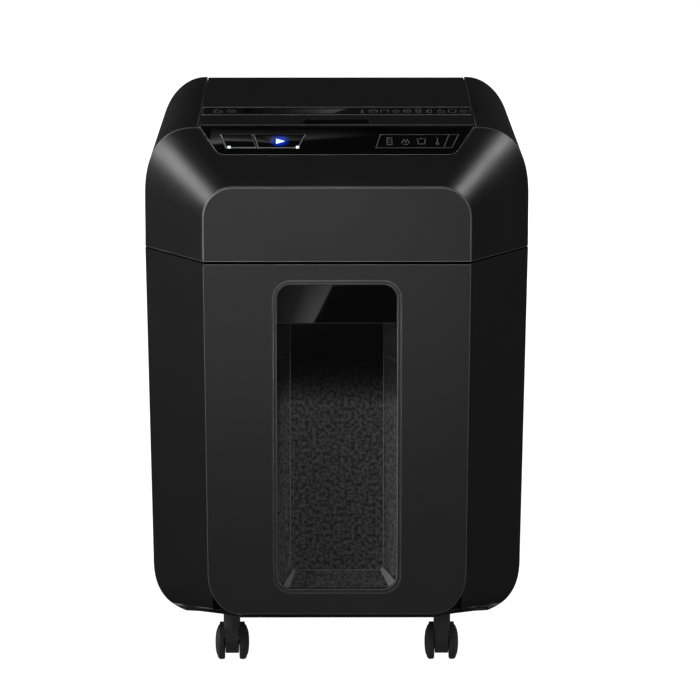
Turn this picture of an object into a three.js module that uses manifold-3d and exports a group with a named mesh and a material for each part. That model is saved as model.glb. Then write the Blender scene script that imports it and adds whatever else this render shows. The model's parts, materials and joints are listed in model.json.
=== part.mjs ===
// An auto-feed paper shredder: a head that holds the cutters, drive and sheet tray, a cabinet on four
// twin-wheel casters, and a pull-out bin with a window. Millimetres, +Z up, the front faces -Y, and the
// origin is on the floor under the middle of the machine.
import * as THREE from "three";
import { mergeVertices } from "three/addons/utils/BufferGeometryUtils.js";
import Module from "manifold-3d";

const wasm = await Module();
wasm.setup();

// ---------------------------------------------------------------- driving dimensions
const HALF_DEPTH = 208; // front panels to rear covers, from the middle
const HALF_WIDTH = 182; // widest point, at the joint between head and cabinet
const REAR_HALF_WIDTH = 179.5; // the sides draw in a little towards the rear
const FRONT_HALF_WIDTH = 125; // flat front panels
const SHOULDER_Y = -124; // where the straight sides end and the front facets begin
const FACET_END_Y = -204.6; // front rim of the facets, behind the 3 mm front panels
const REAR_RIM_Y = 204.6; // rear rim of the sides, in front of the 3 mm rear covers
const WALL = 3;
const SLIT = 0.3; // gap between pieces that touch

const BASE_Z = 51.5; // underside of the base pan and side panels
const CABINET_Z = 58; // underside of the front panel, which leaves the base pan showing
const SEAM_LOW_Z = 395.4; // top of the cabinet
const SEAM_HIGH_Z = 396.9; // underside of the head
const FRONT_TOP_Z = 468; // top of the flat part of the head's front
const TOP_Z = 511; // top of the shoulders at the front
const REAR_TOP_Z = 512; // and at the rear

const LID_HALF_WIDTH = 130.6;
const TRENCH_HALF_WIDTH = 131.5; // the lid and tray lie between the shoulders
const LID_FRONT_Y = -111.5;
const LID_REAR_Y = 203;
const LID_RIDGE = [-22, 515]; // highest line of the lid, behind its glossy strip
const LID_STRIP_END = [-50, 511.6];
const HINGE = [195, 505]; // lid hinge axis, as y and z
const PIN_RADIUS = 2.5;
const RUNNING_GAP = 0.4;

const TRAY_FLOOR_Z = 484;
const THROAT_Y = [-121, LID_FRONT_Y]; // manual feed slot, front to rear

const GEAR_MODULE = 1.5;
const CUTTER_TEETH = 22;
const FEED_TEETH = 32;
const REDUCTION_SMALL_TEETH = 16;
const REDUCTION_BIG_TEETH = 40;
const PINION_TEETH = 12;
const CUTTER_Z = 432;
const REAR_CUTTER_Y = -90;
const DISC_RADIUS = 19.5;
const SPACER_RADIUS = 12.5;
const DISC_WIDTH = 8;
const DISC_PITCH = 17;
const PLATE_X = [118, 122]; // steel side plates of the cutter block
const GEAR_X = [137, 145];
const BIG_GEAR_X = [146, 154];

const ROLLER_RADIUS = 16;
const WHEEL_RADIUS = 17;
const CASTER_TRAIL = 12;
const CASTERS = {
  front_left: [-100.5, -172],
  front_right: [100.5, -172],
  rear_left: [-109, 150],
  rear_right: [109, 150],
};

// ---------------------------------------------------------------- materials
const paint = (color, roughness, metalness = 0) =>
  new THREE.MeshStandardMaterial({ color, roughness, metalness });
const MATERIALS = {
  matte_black: paint(0x161616, 0.5),
  gloss_black: paint(0x050505, 0.08),
  charcoal: paint(0x2b2b2b, 0.55),
  smoked: paint(0x101010, 0.1),
  light_blue: paint(0x3f7cff, 0.3),
  steel: paint(0x9a9c9e, 0.35, 1),
  cutter_steel: paint(0x6f7174, 0.3, 1),
  nylon: paint(0xd8d4c8, 0.5),
  caster_black: paint(0x1c1c1c, 0.45),
  rubber: paint(0x2a2a2a, 0.85),
  board_green: paint(0x1d4a2c, 0.5),
  inner_grey: paint(0x3a3a3c, 0.6),
};

const shredder = new THREE.Group();
shredder.name = "paper_shredder";

function add(name, solid, material, parent = shredder) {
  const mesh = new THREE.Mesh(geometryOf(solid), MATERIALS[material]);
  mesh.name = name;
  parent.add(mesh);
  return mesh;
}

// ---------------------------------------------------------------- solids from three.js geometry
function signedVolume(positions, triangles) {
  const corner = (i) => new THREE.Vector3().fromArray(positions, 3 * i);
  let six = 0;
  for (let i = 0; i < triangles.length; i += 3) {
    const [a, b, c] = [0, 1, 2].map((k) => corner(triangles[i + k]));
    six += a.dot(b.cross(c));
  }
  return six / 6;
}

// A closed geometry as a manifold solid. A profile drawn clockwise comes out inside out, so it is turned round.
function toSolid(geometry) {
  const bare = geometry.index ? geometry.toNonIndexed() : geometry.clone();
  bare.deleteAttribute("normal");
  bare.deleteAttribute("uv");
  const merged = mergeVertices(bare, 1e-4);
  const vertProperties = merged.attributes.position.array;
  const triVerts = new Uint32Array(merged.index.array);
  if (signedVolume(vertProperties, triVerts) < 0) triVerts.reverse();
  return new wasm.Manifold(new wasm.Mesh({ numProp: 3, vertProperties, triVerts }));
}

function geometryOf(solid) {
  const mesh = solid.getMesh();
  const geometry = new THREE.BufferGeometry();
  geometry.setAttribute("position", new THREE.BufferAttribute(mesh.vertProperties, 3));
  geometry.setIndex(new THREE.BufferAttribute(mesh.triVerts, 1));
  const flat = geometry.toNonIndexed();
  flat.computeVertexNormals();
  return flat;
}

const join = (...solids) => solids.reduce((whole, piece) => whole.add(piece));
const cut = (solid, ...tools) => tools.reduce((rest, tool) => rest.subtract(tool), solid);

function box([x0, x1], [y0, y1], [z0, z1]) {
  const geometry = new THREE.BoxGeometry(x1 - x0, y1 - y0, z1 - z0);
  return toSolid(geometry.translate((x0 + x1) / 2, (y0 + y1) / 2, (z0 + z1) / 2));
}

function extrude(points, depth) {
  const shape = new THREE.Shape(points.map(([a, b]) => new THREE.Vector2(a, b)));
  return new THREE.ExtrudeGeometry(shape, { depth, bevelEnabled: false });
}

// Prisms of an outline in x and z, in y and z, or in x and y, between two places on the third axis.
const prismXZ = (points, [y0, y1]) =>
  toSolid(extrude(points, y1 - y0).rotateX(Math.PI / 2).translate(0, y1, 0));
const prismXY = (points, [z0, z1]) => toSolid(extrude(points, z1 - z0).translate(0, 0, z0));
const [X, Y, Z] = [[1, 0, 0], [0, 1, 0], [0, 0, 1]].map((v) => new THREE.Vector3(...v));
const TURN_YZ_TO_X = new THREE.Matrix4().makeBasis(Y, Z, X);
const prismYZ = (points, [x0, x1]) =>
  toSolid(extrude(points, x1 - x0).applyMatrix4(TURN_YZ_TO_X).translate(x0, 0, 0));

// A profile of [radius, place along the axis] points turned about an axis along X through y, z.
const TURN_LATHE_TO_X = new THREE.Matrix4().makeBasis(Z, X, Y);
function latheGeometry(profile, sides) {
  return new THREE.LatheGeometry(profile.map(([r, a]) => new THREE.Vector2(r, a)), sides);
}
const turnedX = (profile, [y, z], sides = 20) =>
  toSolid(latheGeometry(profile, sides).applyMatrix4(TURN_LATHE_TO_X).translate(0, y, z));
const ring = (inner, outer, [a0, a1]) =>
  [[inner, a0], [outer, a0], [outer, a1], [inner, a1], [inner, a0]];
const rodX = (radius, [x0, x1], [y, z], sides = 16) =>
  turnedX([[0, x0], [radius, x0], [radius, x1], [0, x1]], [y, z], sides);
const rodZ = (radius, [z0, z1], [x, y], sides = 16) =>
  toSolid(
    new THREE.CylinderGeometry(radius, radius, z1 - z0, sides)
      .rotateX(Math.PI / 2)
      .translate(x, y, (z0 + z1) / 2),
  );

// A solid through rings of equally many points. Each ring is { y, points: [[x, z], ...] }, and y may be a
// function of x for a ring that isn't flat, except for the first and last.
function loft(rings) {
  const count = rings[0].points.length;
  const yAt = (y, x) => (typeof y === "function" ? y(x) : y);
  const positions = rings.flatMap(({ y, points }) => points.flatMap(([x, z]) => [x, yAt(y, x), z]));
  const triangles = [];
  rings.slice(1).forEach((_, r) => {
    for (let i = 0; i < count; i++) {
      const [a, b] = [r * count + i, r * count + ((i + 1) % count)];
      triangles.push(a, b, a + count, b, b + count, a + count);
    }
  });
  const cap = (r, flip) => {
    const outline = rings[r].points.map(([x, z]) => new THREE.Vector2(x, z));
    for (const [a, b, c] of THREE.ShapeUtils.triangulateShape(outline, [])) {
      triangles.push(...(flip ? [c, b, a] : [a, b, c]).map((i) => i + r * count));
    }
  };
  const clockwise = THREE.ShapeUtils.area(rings[0].points.map(([x, z]) => new THREE.Vector2(x, z))) < 0;
  cap(0, !clockwise);
  cap(rings.length - 1, clockwise);
  const geometry = new THREE.BufferGeometry();
  geometry.setAttribute("position", new THREE.Float32BufferAttribute(positions, 3));
  geometry.setIndex(triangles);
  return toSolid(geometry);
}

// ---------------------------------------------------------------- outlines
// A quarter of a superellipse from the side towards the top (up = 1) or bottom (up = -1); side = 1 is the right.
function cornerArc({ side, up, x, z, rx, rz, power, steps }) {
  return Array.from({ length: steps + 1 }, (_, i) => {
    const angle = (i / steps) * (Math.PI / 2);
    const dx = rx * Math.cos(angle) ** (2 / power);
    const dz = rz * Math.sin(angle) ** (2 / power);
    return [side * (x + dx), z + up * dz];
  });
}

// Front-view outline of the head: straight sides and rounded upper corners, narrowed by an inset.
function headOutline({ halfWidth, top, rx, rz, power }, inset, bottom) {
  const arc = { up: 1, x: halfWidth - rx, z: top - rz, rx: rx - inset, rz: rz - inset, power, steps: 8 };
  const left = cornerArc({ ...arc, side: -1 });
  const right = cornerArc({ ...arc, side: 1 }).reverse();
  return [[-halfWidth + inset, bottom], ...left, ...right, [halfWidth - inset, bottom]];
}
const HEAD = {
  rear: { halfWidth: REAR_HALF_WIDTH, top: REAR_TOP_Z, rx: 46, rz: 62, power: 2 },
  section: { halfWidth: HALF_WIDTH, top: TOP_Z, rx: 50, rz: 68, power: 2.5 },
  front: { halfWidth: FRONT_HALF_WIDTH, top: FRONT_TOP_Z, rx: 29, rz: 29, power: 2 },
};

// Front-view outline of the cabinet: sides that lean in a little and rounded lower corners.
function cabinetOutline({ halfTop, halfBottom, bottom, rx, rz, power }, inset, top) {
  const arc = {
    up: -1, x: halfBottom - rx, z: bottom + rz, rx: rx - inset, rz: rz - inset, power, steps: 6,
  };
  const left = cornerArc({ ...arc, side: -1 });
  const right = cornerArc({ ...arc, side: 1 }).reverse();
  return [[-halfTop + inset, top], ...left, ...right, [halfTop - inset, top]];
}
const SIDE_CORNER = { bottom: BASE_Z, rx: 33, rz: 42, power: 2.8 };
const CABINET = {
  rear: { halfTop: REAR_HALF_WIDTH, halfBottom: 174.6, ...SIDE_CORNER },
  section: { halfTop: HALF_WIDTH, halfBottom: 177.1, ...SIDE_CORNER },
  front: { halfTop: FRONT_HALF_WIDTH, halfBottom: 122.3, bottom: CABINET_Z, rx: 29, rz: 39, power: 2 },
};

// A rectangle with round corners, as [x, z] points.
function roundedRectangle([x0, x1], [z0, z1], radius, steps = 4) {
  const centres = [
    [x1 - radius, z1 - radius, 0], [x0 + radius, z1 - radius, 1],
    [x0 + radius, z0 + radius, 2], [x1 - radius, z0 + radius, 3],
  ];
  return centres.flatMap(([cx, cz, quarter]) =>
    Array.from({ length: steps + 1 }, (_, i) => {
      const angle = (quarter + i / steps) * (Math.PI / 2);
      return [cx + radius * Math.cos(angle), cz + radius * Math.sin(angle)];
    }),
  );
}

// A body that draws in slightly to the rear and narrows over the front facets to the front outline.
// facetEdge says where the facets begin at each x.
function facetedBody({ rear, section, front }, inset, outline, facetEdge) {
  const rearY = inset > 0 ? REAR_RIM_Y + 10 : REAR_RIM_Y;
  const tail = inset > 0 ? [{ y: FACET_END_Y - 10, points: outline(front, inset) }] : [];
  return loft([
    { y: rearY, points: outline(rear, inset) },
    { y: facetEdge, points: outline(section, inset) },
    { y: FACET_END_Y, points: outline(front, inset) },
    ...tail,
  ]);
}

// ---------------------------------------------------------------- cabinet
const STEM_PIN_RADIUS = 4.5;
const STEM_HOLE_RADIUS = 5;

// Where the flat facets cut the rounded lower corners of the sides, they begin further forward.
const facetEdge = (inset) => (x) => {
  const rise = (SHOULDER_Y - FACET_END_Y) / (CABINET.section.halfBottom - CABINET.front.halfBottom);
  return SHOULDER_Y - rise * Math.max(0, CABINET.section.halfBottom - inset - Math.abs(x));
};

function buildCabinet() {
  const outside = (shape, inset) => cabinetOutline(shape, inset, SEAM_LOW_Z);
  const inside = (shape, inset) => cabinetOutline(shape, inset, SEAM_LOW_Z + 10);
  const shell = cut(
    facetedBody(CABINET, 0, outside, facetEdge(0)),
    facetedBody(CABINET, WALL, inside, facetEdge(WALL)),
  );
  const panHalf = 118; // the base pan's thick middle lies between the two side panels
  const wing = 145; // its front corners reach under the facets
  const panPlan = (grow) => [
    [-wing - grow, -168.5 - grow], [-110, -184 - grow], [-92, -197 - grow],
    [92, -197 - grow], [110, -184 - grow], [wing + grow, -168.5 - grow],
    [wing + grow, -150 + grow], [panHalf - SLIT + grow, -150 + grow], [panHalf - SLIT + grow, 203],
    [SLIT - panHalf - grow, 203], [SLIT - panHalf - grow, -150 + grow], [-wing - grow, -150 + grow],
  ];
  const sides = cut(
    shell,
    box([-panHalf, panHalf], [-300, 300], [0, SEAM_LOW_Z + 1]),
    prismXY(panPlan(SLIT), [BASE_Z - 1, BASE_Z + WALL + SLIT]),
  );
  const left = sides.intersect(box([-300, 0], [-300, 300], [0, 500]));
  const right = sides.intersect(box([0, 300], [-300, 300], [0, 500]));
  add("left_side_panel", left, "matte_black");
  add("right_side_panel", right, "matte_black");

  const rear = prismXZ(outside(CABINET.rear, 0), [REAR_RIM_Y + SLIT, HALF_DEPTH]);
  add("rear_panel", rear, "matte_black");

  const panTop = CABINET_Z + WALL;
  const middle = [
    [-90, -195], [90, -195], [108, -182], [panHalf - SLIT, -178], [panHalf - SLIT, 203],
    [SLIT - panHalf, 203], [SLIT - panHalf, -178], [-108, -182],
  ];
  let pan = join(prismXY(panPlan(0), [BASE_Z, BASE_Z + WALL]), prismXY(middle, [BASE_Z + 1, panTop]));
  for (const place of Object.values(CASTERS)) {
    pan = cut(pan, rodZ(STEM_HOLE_RADIUS, [BASE_Z - 5, CABINET_Z + 10], place));
  }
  const [pocketColumns, pocketRows, pocketPitch, pocketHalf] = [4, 7, 45, 20];
  for (let i = 0; i < pocketColumns; i++) {
    for (let j = 0; j < pocketRows; j++) {
      const x = (i - (pocketColumns - 1) / 2) * pocketPitch;
      const y = (j - (pocketRows - 1) / 2) * pocketPitch;
      const pocket = [[x - pocketHalf, x + pocketHalf], [y - pocketHalf, y + pocketHalf]];
      pan = cut(pan, box(...pocket, [BASE_Z - 1, panTop - WALL]));
    }
  }
  add("base_pan", pan, "matte_black");
}

// ---------------------------------------------------------------- casters
function casterHousing(axle, stem) {
  const [y, z] = axle;
  const [x, stemY] = stem;
  const webHalf = 6.3;
  const fender = (inner, outer) => {
    const angles = Array.from({ length: 8 }, (_, i) => THREE.MathUtils.degToRad(25 + i * 18));
    const arc = (r) => angles.map((a) => [y + r * Math.cos(a), z + r * Math.sin(a)]);
    return [...arc(outer), ...arc(inner).reverse()];
  };
  const web = [
    [y + 14, z - 4], [y + 15, z + 3], [y + 12, z + 12], [y + 4, z + 19], [stemY - 7, z + 20],
    [stemY - 7, z + 6], [y - 9, z - 7.5], [y - 4, z - 10.4], [y + 6, z - 10.4],
  ];
  return join(
    prismYZ(web, [x - webHalf, x + webHalf]),
    prismYZ(fender(WHEEL_RADIUS + 0.8, WHEEL_RADIUS + 2.2), [x - 12, x + 12]),
    rodZ(8, [z + 19, BASE_Z - 0.6], [x, stemY]),
    rodZ(STEM_PIN_RADIUS, [BASE_Z - 1, CABINET_Z + 2], [x, stemY], 12),
    rodX(3, [x - 15.5, x + 15.5], axle, 12),
  );
}

// A wheel stands on one of its flats, which is tangent to the true tread circle.
function casterWheel(axle, x, side) {
  const sides = 20;
  const bore = 3 + RUNNING_GAP;
  const half = [
    [bore, 7], [WHEEL_RADIUS - 1.4, 7], [WHEEL_RADIUS, 8.4], [WHEEL_RADIUS, 11.6],
    [WHEEL_RADIUS - 1.2, 13.2], [12.4, 14.8], [8, 15.8], [bore, 16.2], [bore, 7],
  ];
  const stretch = 1 / Math.cos(Math.PI / sides);
  const profile = half.map(([r, a]) => [r * stretch, side * a]);
  return turnedX(profile, [0, 0], sides).rotate([180 / sides, 0, 0]).translate([x, ...axle]);
}

function buildCasters() {
  for (const [place, [x, y]] of Object.entries(CASTERS)) {
    const axle = [y + CASTER_TRAIL, WHEEL_RADIUS];
    add(`caster_${place}_housing`, casterHousing(axle, [x, y]), "caster_black");
    add(`caster_${place}_wheel_left`, casterWheel(axle, x, -1), "caster_black");
    add(`caster_${place}_wheel_right`, casterWheel(axle, x, 1), "caster_black");
  }
}

// ---------------------------------------------------------------- bin
const PANEL_Y = [-HALF_DEPTH, -205]; // 3 mm front panels
const WINDOW_HALF_WIDTH = 62.6;
const WINDOW_Z = [77, 380];
const WINDOW_RADIUS = 17;
const RIM_WIDTH = 3.6;
const RECESS_BACK_Y = -187;
const BEVEL = 14.5;
const HANDLE_LOW_Z = 339;

function buildBin() {
  const rimOutline = (inset) =>
    roundedRectangle(
      [-WINDOW_HALF_WIDTH + inset, WINDOW_HALF_WIDTH - inset],
      [WINDOW_Z[0] + inset, WINDOW_Z[1] - inset],
      WINDOW_RADIUS - inset,
    );
  const panelOutline = cabinetOutline(CABINET.front, 0.2, SEAM_LOW_Z - 0.2);
  const panel = cut(prismXZ(panelOutline, PANEL_Y), prismXZ(rimOutline(0), [-250, -150]));
  add("bin_front_panel", panel, "charcoal");

  const trim = cut(
    prismXZ(rimOutline(SLIT), [-207.4, -204.4]),
    prismXZ(rimOutline(RIM_WIDTH), [-250, -150]),
  );
  add("window_trim_ring", trim, "charcoal");

  // The pane is a tray: a flange behind the panel, sides that slope inwards, and a flat back. Its top
  // goes straight back, so that fingers can reach up behind the handle panel.
  const trayRings = (grow, lip) => {
    const [half, low, high] = [58.6 + grow, 81 - grow, 376 + grow];
    const front = roundedRectangle([-half, half], [low, high], 13 + grow);
    const back = roundedRectangle([BEVEL - half, half - BEVEL], [low + BEVEL, high], 6 + grow);
    return [{ y: -204.6 - lip, points: front }, { y: -204.6, points: front }, { y: RECESS_BACK_Y + grow, points: back }];
  };
  const pane = cut(
    join(
      loft(trayRings(2, 0).slice(1)),
      prismXZ(roundedRectangle([-70, 70], [70, 386], 14), [-204, -202]),
    ),
    loft(trayRings(0, 5)),
    box([-80, 80], [-250, -204], [0, 500]),
  );
  add("window_pane", pane, "smoked");

  const innerHalf = WINDOW_HALF_WIDTH - RIM_WIDTH - SLIT;
  const handleFace = roundedRectangle([-innerHalf, innerHalf], [HANDLE_LOW_Z - 40, WINDOW_Z[1] - RIM_WIDTH - SLIT], 13);
  const handle = prismXZ(handleFace, [-207, -204.6]).intersect(
    box([-80, 80], [-220, -200], [HANDLE_LOW_Z, 500]),
  );
  add("handle_panel", handle, "gloss_black");

  const tubHalf = 118.2;
  const floorZ = CABINET_Z + WALL + 0.5;
  const topZ = 392;
  const wall = 2.4;
  const [tubFront, tubRear] = [-201.6, 192];
  const section = { halfTop: tubHalf, halfBottom: tubHalf, bottom: floorZ, rx: 24, rz: 34, power: 2 };
  const outer = prismXZ(cabinetOutline(section, 0, topZ), [tubFront, tubRear]);
  const inner = prismXZ(cabinetOutline(section, wall, topZ + 5), [tubFront + wall, tubRear - wall]);
  const lookThrough = prismXZ(roundedRectangle([-61.5, 61.5], [78, 379], 15), [-250, -180]);
  add("bin_tub", cut(outer, inner, lookThrough), "inner_grey");
}

// ---------------------------------------------------------------- head covers
const ROCKER = { x: -120, y: 203, z: 452 };
const GLAND = { x: -120, z: 418 };

// The control panel lies on the sloping front top. Its group has x to the right, y up the slope and z outwards.
const SLOPE_ANGLE = Math.atan2(TOP_Z - FRONT_TOP_Z, SHOULDER_Y - FACET_END_Y);
const slope = new THREE.Group();
slope.position.set(0, SHOULDER_Y, TOP_Z);
slope.rotation.x = SLOPE_ANGLE;
shredder.add(slope);
slope.updateMatrix();
const onSlope = (solid) => {
  const mesh = new THREE.Mesh(geometryOf(solid));
  return toSolid(mesh.geometry.applyMatrix4(slope.matrix));
};

const PANEL_TOP = -0.6;
const PANEL_BOTTOM = -44;
const PANEL_FACE = 1.2; // stands this far above the slope
const PANEL_TOP_HALF = 129.4;
const PANEL_BOTTOM_HALF = 111;
const PANEL_RADIUS = 7;
// The control panel's outline, grown all round, with its straight sides carried up to any height.
const panelOutline = (grow, top = PANEL_TOP) => {
  const bottom = PANEL_BOTTOM - grow;
  const lean = (PANEL_TOP_HALF - PANEL_BOTTOM_HALF) / (PANEL_TOP - PANEL_BOTTOM);
  const halfAt = (y) => PANEL_BOTTOM_HALF + grow + lean * (y - PANEL_BOTTOM);
  const right = [
    [halfAt(bottom) - PANEL_RADIUS, bottom], [halfAt(bottom) - PANEL_RADIUS / 3, bottom + 2],
    [halfAt(bottom + PANEL_RADIUS), bottom + PANEL_RADIUS], [halfAt(top), top],
  ];
  return [...right, ...right.map(([x, y]) => [-x, y]).reverse()];
};
const KEY_Y = [-34, -13];
// Four-sided outlines on the control panel, as x at the top left, top right, bottom right, bottom left.
const POWER_KEY = [-109.5, -80, -75.5, -104];
const FORWARD_KEY = [-78.5, -29.5, -36.5, -74];
const INDICATOR = [41, 115, 108, 36.5];
const keyOutline = ([a, b, c, d], grow) => [
  [a - grow, KEY_Y[1] + grow], [d - grow, KEY_Y[0] - grow], [c + grow, KEY_Y[0] - grow], [b + grow, KEY_Y[1] + grow],
];

function buildHeadCovers() {
  const outside = (shape, inset) => headOutline(shape, inset, SEAM_HIGH_Z);
  const inside = (shape, inset) => headOutline(shape, inset, SEAM_HIGH_Z - 10);
  const shell = cut(
    facetedBody(HEAD, 0, outside, SHOULDER_Y),
    facetedBody(HEAD, WALL, inside, SHOULDER_Y),
  );
  const panelHole = onSlope(prismXY(panelOutline(0.4, 20), [-20, 20]));
  const bezel = cut(shell.intersect(box([-300, 300], [-300, SHOULDER_Y - SLIT], [0, 600])), panelHole);
  add("front_bezel", bezel, "matte_black");

  const hingePin = ([x0, x1], radius) => rodX(radius, [x0, x1], HINGE);
  for (const [name, side] of [["left", -1], ["right", 1]]) {
    const span = (a, b) => [Math.min(side * a, side * b), Math.max(side * a, side * b)];
    const sideY = [SHOULDER_Y + SLIT, REAR_RIM_Y];
    const skin = shell.intersect(box(span(TRENCH_HALF_WIDTH, 300), sideY, [0, 600]));
    const wall = box(span(TRENCH_HALF_WIDTH, TRENCH_HALF_WIDTH + 2.5), sideY, [478, TOP_Z - 1]);
    const bore = hingePin(span(120, 140), PIN_RADIUS + RUNNING_GAP);
    add(`${name}_shoulder`, cut(join(skin, wall), bore), "matte_black");
    add(`lid_hinge_pin_${name}`, hingePin(span(127.4, 137), PIN_RADIUS), "steel");
  }

  const trenchRim = 500.8; // clear of the lid's rear edge as it swings down
  const vents = Array.from({ length: 7 }, (_, i) =>
    box([20, 110], [190, 220], [414 + 10 * i, 418.5 + 10 * i]),
  );
  const rearCover = cut(
    prismXZ(outside(HEAD.rear, 0), [REAR_RIM_Y + SLIT, HALF_DEPTH]),
    box([-TRENCH_HALF_WIDTH, TRENCH_HALF_WIDTH], [190, 220], [trenchRim, 600]),
    ...vents,
    box([ROCKER.x - 7, ROCKER.x + 7], [190, 220], [ROCKER.z - 11, ROCKER.z + 11]),
    turnedYAt(roundBar(7), GLAND.x, GLAND.z, [190, 220]),
  );
  add("rear_cover", rearCover, "matte_black");

  const frontPanel = prismXZ(headOutline(HEAD.front, 0.2, SEAM_HIGH_Z), PANEL_Y);
  add("head_front_panel", frontPanel, "charcoal");
}

// A round bar or tube along Y, from a profile of [radius, y] points.
function turnedYAt(profile, x, z, [y0, y1]) {
  return toSolid(latheGeometry(profile(y0, y1), 16).translate(x, 0, z));
}
const roundBar = (radius) => (y0, y1) => [[0, y0], [radius, y0], [radius, y1], [0, y1]];

function buildControlPanel() {
  const keyHole = (key) => prismXY(keyOutline(key, 0.5), [-10, 10]);
  const lensSeat = prismXY(keyOutline(INDICATOR, 0), [0, 10]);
  const plate = cut(
    prismXY(panelOutline(0), [PANEL_FACE - 3, PANEL_FACE]),
    keyHole(POWER_KEY),
    keyHole(FORWARD_KEY),
    lensSeat,
  );
  add("control_panel", plate, "gloss_black", slope);

  const keyTop = PANEL_FACE + 0.8;
  const arrowDepth = 1;
  const arrow = (grow) => [
    [-57.5 - grow, -27.5 - grow * 1.6], [-48.5 + grow * 1.6, -23.5], [-57.5 - grow, -19.5 + grow * 1.6],
  ];
  add("power_button", prismXY(keyOutline(POWER_KEY, 0), [-8, keyTop]), "gloss_black", slope);
  const forward = cut(
    prismXY(keyOutline(FORWARD_KEY, 0), [-8, keyTop]),
    prismXY(arrow(SLIT), [keyTop - arrowDepth - SLIT, keyTop + 5]),
  );
  add("forward_button", forward, "gloss_black", slope);
  add("arrow_light_guide", prismXY(arrow(0), [keyTop - arrowDepth, keyTop + 0.1]), "light_blue", slope);
  add("indicator_lens", prismXY(keyOutline(INDICATOR, -SLIT), [SLIT, PANEL_FACE + 0.3]), "smoked", slope);

  const board = [[-112, -62], [112, -62], [112, -20], [-112, -20]];
  add("control_board", prismXY(board, [-14.6, -13]), "board_green", slope);
}

// ---------------------------------------------------------------- rear switch and cord gland
function buildRearFittings() {
  const rocker = [[-7, -5], [0, -9], [3.8, -9], [2.6, 0], [3.8, 9], [0, 9], [-7, 5]];
  const switchGroup = new THREE.Group();
  switchGroup.position.set(ROCKER.x, ROCKER.y, ROCKER.z);
  switchGroup.rotation.x = THREE.MathUtils.degToRad(-7); // rests on its lower stop
  shredder.add(switchGroup);
  add("rear_power_rocker", prismYZ(rocker, [-6, 6]), "gloss_black", switchGroup);

  const bush = (y0, y1) => [
    [3.6, y0], [6.6, y0], [6.6, y0 + 5], [9.5, y0 + 5], [9.5, y0 + 8], [6.6, y0 + 8], [6.6, y1], [3.6, y1], [3.6, y0],
  ];
  add("cord_gland", turnedYAt(bush, GLAND.x, GLAND.z, [196, 207.8]), "rubber");
}

// ---------------------------------------------------------------- sheet tray, throat and chassis
function buildTray() {
  const half = TRENCH_HALF_WIDTH - 0.6;
  const [front, rear] = [-108.5, 198.5];
  const wall = 2.5;
  const floor = TRAY_FLOOR_Z - wall;
  const sideTop = 495.5; // below the lid's skirts, which drop a little as it opens
  const [feedY] = feedAxis;
  const rollerY = [feedY - ROLLER_RADIUS - 2.5, feedY + ROLLER_RADIUS + 2.5];
  const tray = cut(
    join(
      box([-half, half], [front, rear], [floor, TRAY_FLOOR_Z]),
      box([-half, -half + wall], [front, rear], [floor, sideTop]),
      box([half - wall, half], [front, rear], [floor, sideTop]),
      box([-half, half], [rear - wall, rear], [floor, 493]),
      box([-half, half], [front, front + wall], [491, sideTop]),
    ),
    box([-75, -21], rollerY, [470, 490]),
    box([21, 75], rollerY, [470, 490]),
  );
  add("feed_tray", tray, "matte_black");

  const guideHalf = 116;
  const frontPlate = [[-123.2, 506], [-121, 506], [-121, 488], [-110.8, 458], [-113, 458], [-123.2, 488.4]];
  const rearPlate = [[-105.8, 480.8], [-103.6, 480.8], [-103.6, 458], [-105.8, 458]];
  const web = [[-119.3, 480], [-104.7, 480], [-104.7, 458.2], [-111.9, 458.2]];
  const guide = join(
    prismYZ(frontPlate, [-guideHalf, guideHalf]),
    prismYZ(rearPlate, [-guideHalf, guideHalf]),
    prismYZ(web, [-guideHalf, -guideHalf + wall]),
    prismYZ(web, [guideHalf - wall, guideHalf]),
  );
  add("throat_guide", guide, "inner_grey");

  const plan = [[-121, -201], [121, -201], [176.5, -121], [174.5, 203.5], [-174.5, 203.5], [-176.5, -121]];
  const chassisZ = [SEAM_HIGH_Z, SEAM_HIGH_Z + WALL];
  const flange = (x) => box([Math.min(x, x + 3), Math.max(x, x + 3)], [-110, 195], [388, SEAM_HIGH_Z + 1]);
  const chassis = cut(
    join(prismXY(plan, chassisZ), flange(-174), flange(171)),
    box([-114, 114], [-147, -62], [380, 410]),
  );
  add("head_chassis", chassis, "inner_grey");
}

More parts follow.
